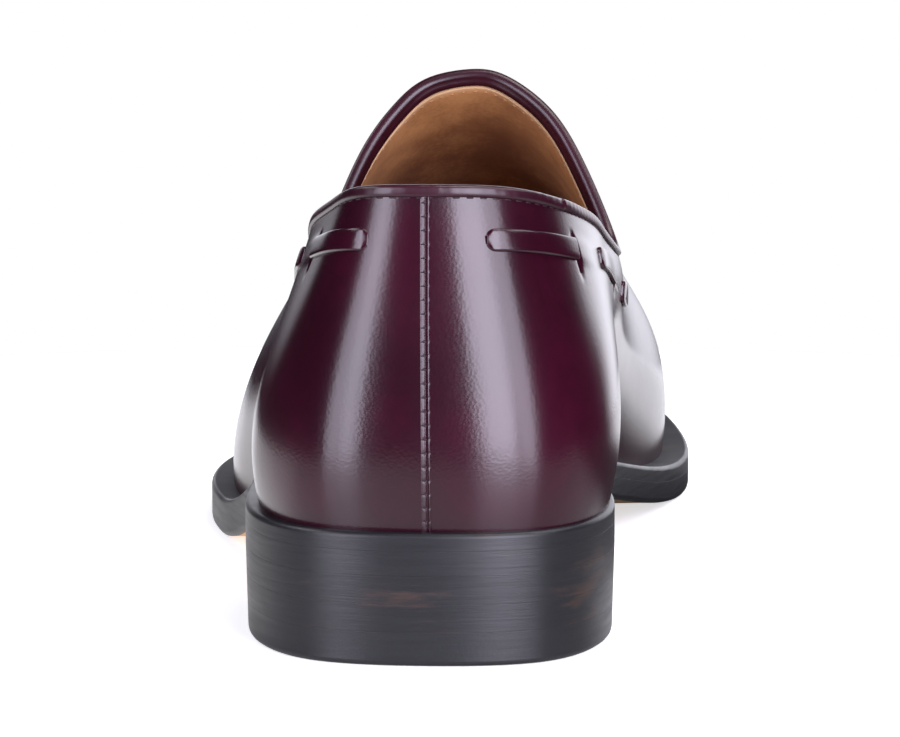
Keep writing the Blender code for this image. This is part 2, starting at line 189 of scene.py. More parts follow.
class LoaferCollar(bpy.types.PropertyGroup):
    """Rolled binding along the topline."""

    bead: size("Bead", "Height of the bead outside", 2.5)
    proud: size("Proud", "How far the bead stands out from the leather", 0.75)
    rim: size("Rim", "Depth of the rim inside the collar", 3.4)
    tongue_rim: size("Tongue rim", "Depth of the rim inside the tongue's sides", 5.6)
    apex_rim: size("Apex rim", "Depth of the rim inside the tongue's apex", 3.3)
    rim_tuck: size("Rim tuck", "How far the rim runs on behind the lining", 2.2)
    pucker: size("Pucker", "How far the stitches draw the bead in", 0.035)
    puff: size("Puff", "How far the rim swells out inside the tongue", 0.8)
    join_place: size("Join", "Where the binding's ends meet, from the back seam", 34)
    join_step: size("Join step", "Height of the overlap at the join", 0.3)


class LoaferLace(bpy.types.PropertyGroup):
    """Flat lace woven along the collar."""

    width: size("Width", "Width of the lace", 4.5)
    hidden_width: size("Hidden width", "Width of the lace behind the leather", 1.6)
    thick: size("Thickness", "Thickness of the lace", 0.85)
    hidden_thick: size("Hidden thickness", "Thickness of the lace behind the leather", 0.5)
    lift: size("Lift", "Space under a visible run", 0.08)
    first_slot: size("First slot", "First slot from the back seam", 12)
    run: size("Run", "Length of a visible run", 28)
    hidden: size("Hidden run", "Length of a hidden run", 22)
    runs: IntProperty(name="Runs", description="Visible runs on each side", default=3, min=1)
    slit: size("Slit", "Width of a slot", 0.9)
    slit_below: size("Slit below", "How far a front slot runs on below the lace", 2.6)
    round_end: size("Round end", "Length over which a run's back end rounds off", 2.3)
    nose: size("Nose", "How far a run's back end reaches into its slot", 0.4)
    tip: size("Tip", "Length over which a run's back end comes out of its slot", 0.3)
    dip_lateral: size("Lateral dip", "How far an outer run's back end bends down to its slot", 0.85)
    dip_medial: size("Medial dip", "How far an inner run's back end bends down to its slot", 0.55)
    dip_run: size("Dip run", "Length over which a run's back end bends down", 4.5)
    bulge: size("Bulge", "How far a hidden run pushes the leather out", 0.3)
    square_end: size("Square end", "Length over which a run's front end turns in", 1.0)


class LoaferThread(bpy.types.PropertyGroup):
    """Stitches."""

    radius: size("Radius", "Radius of the thread", 0.21)
    pitch: size("Pitch", "Distance between stitches", 2.7)
    length: size("Length", "Length of one stitch", 2.0)
    lining_below: size("Lining row", "Distance of the lining's stitches below its edge", 1.3)
    lining_length: size("Lining stitch", "Length of one stitch in the lining", 1.3)
    collar_below: size("Collar row", "Distance of the collar's stitches below the bead", 0.12)


class LoaferFinish(bpy.types.PropertyGroup):
    """Colours."""

    # Deep burgundy: the dark tone of the mottle, and the tone that burnish and painted shade darken toward
    calf_deep: colour("Calf, deep", "Burgundy in the burnished parts", (0.019, 0.0016, 0.0062))
    calf_open: colour("Calf, open", "Burgundy in the open parts", (0.034, 0.0023, 0.0105))
    lining: colour("Lining", "Tan lining", (0.60, 0.29, 0.104))
    lining_dark: colour("Lining, dark", "Tan lining where it is handled", (0.34, 0.142, 0.045))
    # Painted shade: the lining's tone deep inside the shoe and under the tongue's apex
    lining_shade: colour("Lining, shade", "Tan lining deep inside", (0.17, 0.060, 0.021))
    raw_edge: colour("Raw edge", "Cut edge of the lining", (0.72, 0.45, 0.24))
    edge_ink: colour("Edge ink", "Black ink on sole and heel edges", (0.008, 0.008, 0.0105))
    edge_worn: colour("Edge, worn", "Brown leather through the ink", (0.060, 0.030, 0.020))
    sole: colour("Sole", "Tan face of the outsole", (0.55, 0.33, 0.16))
    rubber: colour("Rubber", "Black rubber", (0.0095, 0.0095, 0.012))
    thread: colour("Thread", "Thread in the burgundy leather", (0.016, 0.004, 0.008))
    lining_thread: colour("Lining thread", "Thread in the lining", (0.30, 0.14, 0.06))


class LoaferStage(bpy.types.PropertyGroup):
    """Camera, floor and lights."""

    eye: position("Eye", "Where the camera stands", (0.0577, -1.2008, 0.198))
    aim: position("Aim", "What the camera looks at", (0.0067, -0.100, 0.052))
    lens: FloatProperty(name="Lens", description="Focal length in millimetres", default=220.0, min=1.0)
    floor: size("Floor", "Radius of the floor", 340)
    floor_tone: colour("Floor tone", "Colour of the floor", (0.86, 0.86, 0.87))


# Curves of the last


class ClosedCurve:
    """Smooth periodic curve through one value at each knot."""

    def __init__(self, knots, period, values):
        self.knots = np.append(knots, knots[0] + period)
        self.values = np.append(values, values[0])
        count = len(knots)
        span = np.diff(self.knots)
        step = np.diff(self.values)
        matrix = np.zeros((count, count))
        right = np.zeros(count)
        for i in range(count):
            before = 1 / span[i - 1]
            after = 1 / span[i]
            matrix[i, i - 1] = before
            matrix[i, i] = 2 * (before + after)
            matrix[i, (i + 1) % count] = after
            right[i] = 3 * (step[i - 1] * before**2 + step[i] * after**2)
        slopes = np.linalg.solve(matrix, right)
        self.slopes = np.append(slopes, slopes[0])

    def __call__(self, at):
        start = self.knots[0]
        at = start + np.mod(np.asarray(at, float) - start, self.knots[-1] - start)
        i = np.clip(np.searchsorted(self.knots, at, side="right") - 1, 0, len(self.knots) - 2)
        width = self.knots[i + 1] - self.knots[i]
        t = (at - self.knots[i]) / width
        return (
            self.values[i] * (1 + 2 * t) * (1 - t) ** 2
            + self.slopes[i] * width * t * (1 - t) ** 2
            + self.values[i + 1] * t**2 * (3 - 2 * t)
            + self.slopes[i + 1] * width * t**2 * (t - 1)
        )


def smooth(low, high, value):
    """0 below low, 1 above high, with an even slope between."""
    t = np.clip((value - low) / (high - low), 0.0, 1.0)
    return t * t * (3 - 2 * t)


def unit(vectors):
    return vectors / np.linalg.norm(vectors, axis=-1, keepdims=True)


class Last:
    """The foot's form as curves round the shoe: lateral sections out to the toe, medial ones back."""

    def __init__(self, scene):
        self.sole = scene.loafer_sole
        self.upper = scene.loafer_upper
        inner = SECTIONS[-2:0:-1]
        ring = SECTIONS + inner
        columns = {}
        for name in Section._fields[1:]:
            unit_size = 1.0 if name in SHARE_COLUMNS else MM
            columns[name] = np.array([getattr(s, name) for s in ring]) * unit_size
        edge = np.array([-s.lateral for s in SECTIONS] + [s.medial for s in inner]) * MM
        top = np.array([-s.top_lateral for s in SECTIONS] + [s.top_medial for s in inner]) * MM
        columns["sole_x"] = edge + self.toe_swing(columns["sole_y"])
        columns["top_x"] = top + self.tongue_swing(columns["top_y"])
        for name in ("margin", "swell"):
            lateral = [getattr(s, f"{name}_lateral") for s in SECTIONS]
            medial = [getattr(s, f"{name}_medial") for s in inner]
            columns[name] = np.array(lateral + medial) * MM
        chords = np.hypot(
            np.diff(columns["sole_x"], append=columns["sole_x"][0]),
            np.diff(columns["sole_y"], append=columns["sole_y"][0]),
        )
        knots = np.append(0.0, np.cumsum(chords)[:-1])
        self.period = chords.sum()
        self.toe = knots[len(SECTIONS) - 1]
        self.column = {name: ClosedCurve(knots, self.period, values) for name, values in columns.items()}
        outline = self.plan(self.places(SOLE_AROUND))
        low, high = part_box("outsole")
        middle = (outline.min(axis=0) + outline.max(axis=0)) / 2
        self.origin = np.array([(low.x + high.x) / 2 - middle[0], (low.y + high.y) / 2 - middle[1], 0.0])

    def toe_swing(self, y):
        return self.sole.toe_swing * smooth(self.sole.toe_swing_start, self.sole.length, y)

    def tongue_swing(self, y):
        upper = self.upper
        return upper.tongue_swing * smooth(upper.tongue_swing_start, upper.tongue_swing_end, y)

    def heel_top(self):
        return self.sole.top_piece + self.sole.gap + self.sole.lift_count * (self.sole.lift + self.sole.gap)

    def sole_bottom(self, plan):
        """Underside of the outsole: level on the heel, down the shank, level at the tread, up at the toe."""
        sole = self.sole
        x, y = plan[:, 0], plan[:, 1]
        end = sole.shank_end + sole.shank_twist * (2 * smooth(-sole.shank_reach, sole.shank_reach, x) - 1)
        shank = self.heel_top() * (1 - smooth(sole.shank_start, end, y))
        spring = np.clip((y - sole.tread_end) / (sole.length - sole.tread_end), 0.0, None)
        return shank + sole.toe_spring * spring**2

    def outsole_top(self, plan):
        return self.sole_bottom(plan) + self.sole.outsole + self.sole.gap / 2

    def welt_top(self, plan):
        return self.sole_bottom(plan) + self.sole.outsole + self.sole.gap + self.sole.welt

    def insole_top(self, plan):
        return self.welt_top(plan) + self.sole.insole_rise

    def places(self, count):
        """Places round the shoe, as many on the lateral side as on the medial side."""
        share = np.arange(count // 2) / (count // 2)
        return np.concatenate([self.toe * share, self.toe + (self.period - self.toe) * share])

    def seam(self):
        return self.period - self.upper.seam_side

    def plan(self, at):
        return np.stack([self.column["sole_x"](at), self.column["sole_y"](at)], axis=-1)

    def outward(self, at):
        """Plan direction square to the sole's edge, away from the foot."""
        run = self.plan(np.asarray(at) + PROBE) - self.plan(np.asarray(at) - PROBE)
        return unit(np.stack([-run[..., 1], run[..., 0]], axis=-1))

    def sole_edge(self, at, inset):
        """Plan of the sole's edge, moved inward by inset."""
        return self.plan(at) - self.outward(at) * np.reshape(inset, (-1, 1))

    def toward_spine(self, plan, share):
        """Outline drawn in toward the line from the heel's middle to the toe's middle."""
        y = plan[:, 1]
        middle = np.column_stack([self.toe_swing(y), np.clip(y, self.sole.spine_start, self.sole.spine_end)])
        return middle + (plan - middle) * share

    def wall_curve(self, at):
        """Points up the upper's outer face from welt to topline, one line for each place in at."""
        get = {name: curve(at) for name, curve in self.column.items()}
        out = self.outward(at)
        foot = self.sole_edge(at, get["margin"])
        foot_z = self.welt_top(foot)
        top = np.column_stack([get["top_x"], get["top_y"]])
        low = foot + out * get["flare"][:, None]
        high = top + (foot - top) * get["lean"][:, None] + out * get["swell"][:, None]
        handles = [
            np.column_stack([foot, foot_z]),
            np.column_stack([low, foot_z + get["rise"]]),
            np.column_stack([high, get["top_z"] - get["drop"]]),
            np.column_stack([top, get["top_z"]]),
        ]
        t = np.linspace(0.0, 1.0, CURVE_STEPS + 1)
        weights = [(1 - t) ** 3, 3 * t * (1 - t) ** 2, 3 * t**2 * (1 - t), t**3]
        return sum(h[:, None, :] * w[None, :, None] for h, w in zip(handles, weights))


class Wall:
    """The upper's outer face, read by place round the shoe and by distance down from the topline."""

    def __init__(self, last, at):
        at = np.asarray(at, float)
        self.lines = last.wall_curve(at)
        around = last.wall_curve(at + PROBE) - last.wall_curve(at - PROBE)
        self.normals = unit(np.cross(np.gradient(self.lines, axis=1), around))
        steps = np.linalg.norm(np.diff(self.lines, axis=1), axis=-1)
        climbed = np.concatenate([np.zeros((len(at), 1)), np.cumsum(steps, axis=1)], axis=1)
        self.length = climbed[:, -1]
        self.down = self.length[:, None] - climbed

    def at(self, down, offset):
        """Points down from the topline and off the face by offset, a row for each place round the shoe."""
        down, offset = np.broadcast_arrays(np.asarray(down, float), offset)
        single = down.ndim < 2
        if single:
            down = np.broadcast_to(down.reshape(-1, 1), (len(self.lines), 1))
            offset = np.broadcast_to(offset.reshape(-1, 1), (len(self.lines), 1))
        ranks = np.arange(CURVE_STEPS + 1)
        place = np.stack([np.interp(-d, -line, ranks) for d, line in zip(down, self.down)])
        low = np.minimum(place.astype(int), CURVE_STEPS - 1)
        share = (place - low)[..., None]
        row = np.arange(len(self.lines))[:, None]
        rise = self.lines[row, low + 1] - self.lines[row, low]
        above = np.clip(-down, 0.0, None)[..., None] * unit(rise)
        normal = unit(self.normals[row, low] * (1 - share) + self.normals[row, low + 1] * share)
        points = self.lines[row, low] + rise * share + above + normal * offset[..., None]
        return points[:, 0] if single else points


def run_along(line):
    """Distance along a line of points, at each of them."""
    return np.append(0.0, np.cumsum(np.linalg.norm(np.diff(line, axis=0), axis=1)))


def even_places(last, down, start, spacing, count):
    """Places from start along the line that lies down below the topline, spacing apart or count in all."""
    at = start + np.linspace(0.0, last.period, LINE_PROBES)
    run = run_along(Wall(last, at).at(down(at), 0.0))
    spacing = spacing if count is None else run[-1] / count
    return np.interp(np.arange(0.0, run[-1] - spacing / 2, spacing), run, at)


def lace_place(last, distance):
    """Place round the shoe where the lace's line has run distance from the back seam, medial above 0."""
    reach = np.linspace(-last.toe, last.period - last.toe, LINE_PROBES)
    at = last.seam() - reach
    run = run_along(Wall(last, at).at(last.column["lace"](at), 0.0))
    run -= np.interp(0.0, reach, run)
    return last.seam() - np.interp(distance, run, reach)


def directions(line, raised):
    """Directions out of the leather and across a line on it, from the line and the line raised by 1 m."""
    out = raised - line
    return out, unit(np.cross(np.gradient(line, axis=0), out))


# Meshes


def grid_quads(rows, columns, close_rows, close_columns):
    """Quads of a grid of points, closed along its rows or its columns when asked."""
    index = np.arange(rows * columns).reshape(rows, columns)
    if close_rows:
        index = np.vstack([index, index[:1]])
    if close_columns:
        index = np.hstack([index, index[:, :1]])
    corners = [index[:-1, :-1], index[1:, :-1], index[1:, 1:], index[:-1, 1:]]
    return np.stack(corners, axis=-1).reshape(-1, 4)


def add_mesh(last, name, points, faces, material, marks=None):
    """Smooth-shaded object from points in the last's frame, with marks stored as point attributes."""
    mesh = bpy.data.meshes.new(name)
    mesh.from_pydata((np.reshape(points, (-1, 3)) + last.origin).tolist(), [], [list(f) for f in faces])
    shape = bmesh.new()
    shape.from_mesh(mesh)
    bmesh.ops.recalc_face_normals(shape, faces=shape.faces)
    shape.to_mesh(mesh)
    shape.free()
    mesh.shade_smooth()
    mesh.set_sharp_from_angle(angle=np.radians(SHARP_ANGLE))
    for key, values in (marks or {}).items():
        attribute = mesh.attributes.new(key, "FLOAT", "POINT")
        attribute.data.foreach_set("value", np.ascontiguousarray(values, np.float32).ravel())
    mesh.materials.append(material)
    obj = bpy.data.objects.new(name, mesh)
    bpy.context.scene.collection.objects.link(obj)
    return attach(obj, BODY)


def ring(last, name, points, material, marks):
    """Solid ring: rows run round the shoe, and columns once round its section."""
    around, along = points.shape[:2]
    return add_mesh(last, name, points, grid_quads(around, along, True, True), material, marks)


def strip(last, name, points, material, marks):
    """Solid strip: rows are sections along it, and both ends are capped."""
    count, around = points.shape[:2]
    faces = [*grid_quads(count, around, False, True).tolist(), range(around)]
    faces.append(range((count - 1) * around, count * around))
    return add_mesh(last, name, points, faces, material, marks)


def plate(last, name, loops, material):
    """Solid plate: loops run from the middle of its underside out to the edge and back in on top."""
    points = np.stack(loops, axis=1)
    around, along = points.shape[:2]
    faces = grid_quads(around, along, True, False).tolist()
    for side in (0, along - 1):
        for i in range(around // 2):
            cell = [i, i + 1, (around - i - 1) % around, (around - i) % around]
            faces.append([k * along + side for k in dict.fromkeys(cell)])
    return add_mesh(last, name, points, faces, material)


def slab(last, name, outline, edge, material):
    """Solid slab with level faces: edge holds inset and height pairs from its underside to its top."""
    run = np.roll(outline, -1, axis=0) - np.roll(outline, 1, axis=0)
    inward = unit(np.column_stack([-run[:, 1], run[:, 0]]))
    loops = [np.column_stack([outline + inward * inset, np.full(len(outline), z)]) for inset, z in edge]
    points = np.stack(loops, axis=1)
    count, along = points.shape[:2]
    faces = grid_quads(count, along, True, False).tolist()
    faces += [range(side, count * along, along) for side in (0, along - 1)]
    return add_mesh(last, name, points, faces, material)


def shell(last, name, outer, inner, missing, material, marks):
    """Wall between two faces, closed round the shoe, with the missing cells cut through it."""
    rows, columns = outer.shape[:2]
    index = np.arange(rows * columns).reshape(rows, columns)
    behind = index + rows * columns
    quads = grid_quads(rows, columns, True, False)
    kept = quads[~missing.ravel()]
    faces = kept.tolist() + (kept[:, ::-1] + rows * columns).tolist()

    def bridge(a, b):
        faces.append([index[a], index[b], behind[b], behind[a]])

    for i in range(rows):
        after = (i + 1) % rows
        bridge((i, 0), (after, 0))
        bridge((i, columns - 1), (after, columns - 1))
    for i, j in np.argwhere(missing):
        after = (i + 1) % rows
        if not missing[i - 1, j]:
            bridge((i, j), (i, j + 1))
        if not missing[after, j]:
            bridge((after, j), (after, j + 1))
        if not missing[i, j - 1]:
            bridge((i, j), (after, j))
        if not missing[i, j + 1]:
            bridge((i, j + 1), (after, j + 1))
    return add_mesh(last, name, np.stack([outer, inner]), faces, material, marks)


def rounded_edge(low, high, round_low, round_high):
    """Inset and height pairs of an edge from low to high with both of its corners rounded."""
    turn = np.linspace(0.0, np.pi / 2, EDGE_STEPS)
    below = [(round_low * (1 - np.sin(t)), low + round_low * (1 - np.cos(t))) for t in turn]
    above = [(round_high * (1 - np.cos(t)), high - round_high * (1 - np.sin(t))) for t in turn]
    flat = [(0.0, low + round_low + EDGE_HOLD), (0.0, high - round_high - EDGE_HOLD)]
    return below + flat + above


def stitches(last, name, centres, along, up, length, radius, material):
    """Short arched threads, one at each centre, joined in one mesh."""
    side = unit(np.cross(along, up))
    up = unit(np.cross(side, along))
    along = unit(along)
    turn = np.linspace(0.0, 2 * np.pi, STITCH_SIDES, endpoint=False)
    thick = radius * np.sqrt(1 - STITCH_TAPER * STITCH_STEPS**6)
    sunk = -STITCH_SINK * radius * np.abs(STITCH_STEPS) ** 4
    axis = centres[:, None, :] + along[:, None, :] * (STITCH_STEPS * length / 2)[None, :, None]
    axis = axis + up[:, None, :] * sunk[None, :, None]
    circle = side[:, None, None, :] * np.cos(turn)[None, None, :, None]
    circle = circle + up[:, None, None, :] * np.sin(turn)[None, None, :, None]
    points = axis[:, :, None, :] + circle * thick[None, :, None, None]
    size_of_one = len(STITCH_STEPS) * STITCH_SIDES
    single = grid_quads(len(STITCH_STEPS), STITCH_SIDES, False, True).tolist()
    single += [range(STITCH_SIDES), range(size_of_one - STITCH_SIDES, size_of_one)]
    faces = []
    for first in range(0, len(centres) * size_of_one, size_of_one):
        faces += [[first + k for k in face] for face in single]
    return add_mesh(last, name, points, faces, material)


# Shaders


class Socket:
    """A shader socket on which Python's arithmetic adds Math nodes."""

    def __init__(self, nodes, socket):
        self.nodes = nodes
        self.socket = socket

    def math(self, operation, first, second):
        return self.nodes.node("ShaderNodeMath", "Value", {"operation": operation}, {0: first, 1: second})

    def __add__(self, other):
        return self.math("ADD", self, other)

    def __radd__(self, other):
        return self.math("ADD", other, self)

    def __sub__(self, other):
        return self.math("SUBTRACT", self, other)

    def __rsub__(self, other):
        return self.math("SUBTRACT", other, self)

    def __mul__(self, other):
        return self.math("MULTIPLY", self, other)

    def __rmul__(self, other):
        return self.math("MULTIPLY", other, self)


class Nodes:
    """A node tree to which node() adds."""

    def __init__(self, tree):
        self.tree = tree

    def node(self, kind, output, settings, values):
        """Adds a node, its settings first and then its sockets' values or links. Gives one output."""
        made = self.tree.nodes.new(kind)
        for key, value in settings.items():
            setattr(made, key, value)
        for key, value in values.items():
            self.feed(self.find(made.inputs, key), value)
        return Socket(self, self.find(made.outputs, output))

    @staticmethod
    def find(sockets, key):
        if isinstance(key, int):
            return sockets[key]
        return next(s for s in sockets if not s.is_unavailable and key in (s.name, s.identifier))

    def feed(self, socket, value):
        if isinstance(value, Socket):
            self.tree.links.new(value.socket, socket)
        else:
            socket.default_value = value

    def axes(self, vector, names):
        """The named parts of a vector."""
        return [self.node("ShaderNodeSeparateXYZ", name, {}, {"Vector": vector}) for name in names]

    def camera_ray(self):
        """1 for what the eye sees itself, 0 for light and gloss."""
        return self.node("ShaderNodeLightPath", "Is Camera Ray", {}, {})

    def mix(self, amount, first, second):
        """Colour between two colours."""
        first, second = [c if isinstance(c, Socket) else (*c, 1.0) for c in (first, second)]
        settings = {"data_type": "RGBA"}
        values = {"Factor_Float": amount, "A_Color": first, "B_Color": second}
        return self.node("ShaderNodeMix", "Result_Color", settings, values)

    def between(self, value, low, high):
        """0 where value is at low, 1 where it is at high, with an even slope between."""
        settings = {"interpolation_type": "SMOOTHSTEP"}
        values = {"Value": value, "From Min": low, "From Max": high}
        return self.node("ShaderNodeMapRange", "Result", settings, values)


class Finish(Nodes):
    """A material with one Principled shader."""

    def __init__(self, name):
        self.material = bpy.data.materials.new(name)
        self.material.use_nodes = True
        super().__init__(self.material.node_tree)
        self.shader = self.tree.nodes["Principled BSDF"]

    def place(self, stretch=(1.0, 1.0, 1.0)):
        """Position on the shoe in metres, stretched along its axes."""
        values = {0: self.node("ShaderNodeTexCoord", "Object", {}, {}), 1: stretch}
        return self.node("ShaderNodeVectorMath", "Vector", {"operation": "MULTIPLY"}, values)

    def noise(self, place, per_metre, detail, roughness=0.5):
        values = {"Vector": place, "Scale": per_metre, "Detail": detail, "Roughness": roughness}
        return self.node("ShaderNodeTexNoise", "Fac", {}, values)

    def cells(self, place, per_metre):
        values = {"Vector": place, "Scale": per_metre}
        return self.node("ShaderNodeTexVoronoi", "Distance", {"feature": "F1"}, values)

    def mark(self, name):
        return self.node("ShaderNodeAttribute", "Fac", {"attribute_name": name}, {})

    def bump(self, height, depth, strength):
        values = {"Height": height, "Distance": depth, "Strength": strength}
        return self.node("ShaderNodeBump", "Normal", {}, values)

    def give(self, **values):
        """Sets the shader's sockets, named with _ for a space, and returns the material."""
        for key, value in values.items():
            socket = self.find(self.shader.inputs, key.replace("_", " "))
            if "Color" in key and not isinstance(value, Socket):
                value = (*value, 1.0)
            self.feed(socket, value)
        return self.material


def polished_calf(colours):
    """Polished calf: mottled burgundy, burnished darker at its edges, with painted shade in slots, grooves
    and notches, and fine pores under the polish.
    """
    calf = Finish("polished_calf")
    place = calf.place()
    mottle = calf.noise(place, 38.0, detail=3.0)
    fine = calf.noise(place, 420.0, detail=2.0)
    pores = calf.cells(place, 1500.0)
    haze = calf.noise(place, 85.0, detail=4.0, roughness=0.6)
    open_share = calf.between(mottle * 0.8 + fine * 0.2, 0.34, 0.68)
    tone = calf.mix(open_share, colours.calf_deep, colours.calf_open)
    burnish = calf.mark("burnish")
    # The mark darkens toward the deep tone: burnish by the edges, and painted shade in slot troughs, lace
    # ends, the seam's groove and notches
    tone = calf.mix(burnish * 0.75, tone, colours.calf_deep)
    return calf.give(
        Base_Color=tone,
        Roughness=0.18 + haze * 0.06 + burnish * 0.04 + calf.mark("soft") * 0.13,
        Normal=calf.bump(pores, 0.03 * MM, 0.4),
        Specular_IOR_Level=0.55,
        Coat_Weight=0.10,
        Coat_Roughness=0.2,
    )


def lining_leather(colours):
    """Unpolished tan leather with a soft grain, handled darker in places, with painted shade deep inside,
    and a pale cut edge.
    """
    tan = Finish("lining_leather")
    place = tan.place()
    mottle = tan.noise(place, 48.0, detail=4.0, roughness=0.6)
    grain = tan.noise(place, 1100.0, detail=2.0)
    pores = tan.cells(place, 800.0)
    clean = tan.between(mottle * 0.8 + grain * 0.2, 0.32, 0.66)
    tone = tan.mix(clean, colours.lining_dark, colours.lining)
    # Painted shade: the 'deep' mark darkens the lining toward its painted shade tone deep inside and under
    # the apex
    tone = tan.mix(tan.mark("deep") * (1.1 - clean * 0.5), tone, colours.lining_shade)
    tone = tan.mix(tan.mark("raw_edge"), tone, colours.raw_edge)
    return tan.give(
        Base_Color=tone,
        Roughness=0.50 + grain * 0.2,
        Normal=tan.bump(grain * 0.7 + pores * 0.6, 0.09 * MM, 0.6),
        Specular_IOR_Level=0.25,
        Sheen_Weight=0.03,
        Sheen_Roughness=0.5,
    )


def inked_edge(colours):
    """Black ink on leather edges: fine level streaks from rasping, and brown where it has rubbed thin."""
    edge = Finish("inked_edge")
    streak = edge.noise(edge.place((0.05, 0.05, 1.0)), 900.0, detail=4.0, roughness=0.65)
    rub = edge.noise(edge.place((0.35, 0.35, 1.0)), 120.0, detail=4.0, roughness=0.6)
    cloud = edge.noise(edge.place(), 60.0, detail=3.0)
    worn = edge.between(rub * 0.7 + streak * 0.3, 0.53, 0.70)
    tone = edge.mix(worn * 0.65, colours.edge_ink, colours.edge_worn)
    return edge.give(
        Base_Color=tone,
        Roughness=0.26 + streak * 0.22 + cloud * 0.08 + edge.mark("dull") * 0.25,
        Normal=edge.bump(streak, 0.10 * MM, 0.6),
        Specular_IOR_Level=0.55,
    )


def heel_rubber(colours):
    """Moulded rubber with a fine matt texture."""
    rubber = Finish("heel_rubber")
    grain = rubber.noise(rubber.place(), 1500.0, detail=3.0)
    streak = rubber.noise(rubber.place((0.06, 0.06, 1.0)), 700.0, detail=3.0, roughness=0.6)
    cloud = rubber.noise(rubber.place(), 70.0, detail=3.0)
    tone = rubber.mix(rubber.between(cloud, 0.35, 0.7), colours.edge_ink, colours.rubber)
    return rubber.give(
        Base_Color=tone,
        Roughness=0.28 + streak * 0.20 + cloud * 0.08,
        Normal=rubber.bump(grain * 0.4 + streak * 0.8, 0.08 * MM, 0.6),
        Specular_IOR_Level=0.55,
    )


def sole_leather(colours):
    """Tan sole leather with long fibres, rolled smooth."""
    sole = Finish("sole_leather")
    fibre = sole.noise(sole.place((1.0, 0.12, 1.0)), 700.0, detail=3.0)
    cloud = sole.noise(sole.place(), 35.0, detail=3.0)
    tone = sole.mix(sole.between(cloud * 0.7 + fibre * 0.3, 0.35, 0.7), colours.lining, colours.sole)
    return sole.give(
        Base_Color=tone,
        Roughness=0.40 + fibre * 0.15,
        Normal=sole.bump(fibre, 0.06 * MM, 0.5),
        Specular_IOR_Level=0.45,
    )


def thread_finish(name, tone):
    """Waxed twisted thread."""
    thread = Finish(name)
    twist = thread.noise(thread.place(), 4200.0, detail=1.0)
    return thread.give(
        Base_Color=thread.mix(twist * 0.35, tone, [c * 2.2 for c in tone]),
        Roughness=0.45 + twist * 0.15,
        Normal=thread.bump(twist, 0.05 * MM, 0.6),
    )


FINISHES = {
    "polished_calf": polished_calf,
    "lining_leather": lining_leather,
    "inked_edge": inked_edge,
    "heel_rubber": heel_rubber,
    "sole_leather": sole_leather,
    "thread": lambda colours: thread_finish("thread", colours.thread),
    "lining_thread": lambda colours: thread_finish("lining_thread", colours.lining_thread),
}


def finish_of(scene, name):
    """The named material, made on first use."""
    if name not in bpy.data.materials:
        FINISHES[name](scene.loafer_finish)
    return bpy.data.materials[name]


# Pieces


def to_apex(last, at):
    """0 at the back of the heel and 1 at the tongue's apex."""
    return 1 - np.abs(np.mod(at, last.period) - last.toe) / last.toe


def on_tongue(last, at):
    """0 along the collar and 1 on the tongue."""
    return smooth(*TONGUE, to_apex(last, at))


def collar_rim(last, scene, at):
    """Depth of the turned rim inside the topline, widest along the tongue's sides."""
    collar = scene.loafer_collar
    side = (collar.tongue_rim - collar.rim) * on_tongue(last, at)
    apex = (collar.apex_rim - collar.tongue_rim) * smooth(*APEX, to_apex(last, at))
    return collar.rim + side + apex


def at_height(plan, height):
    return np.column_stack([plan, height(plan)])


def face_loops(last, outline, height, shares):
    """Loops of a plate's face, drawn in from its outline to shares of the way from the middle line."""
    return [at_height(last.toward_spine(outline, share), height) for share in shares]


def edge_loops(last, at, edge):
    """Loops round the sole's edge, from pairs of inset and height above its underside."""
    loops = []
    for inset, z in edge:
        plan = last.sole_edge(at, inset)
        loops.append(np.column_stack([plan, last.sole_bottom(plan) + z]))
    return loops


def slot_distances(lace):
    """Back and front slot of each visible run, from the back seam along the lace's line."""
    starts = lace.first_slot + np.arange(lace.runs) * (lace.run + lace.hidden)
    return [(start, start + lace.run) for start in starts]


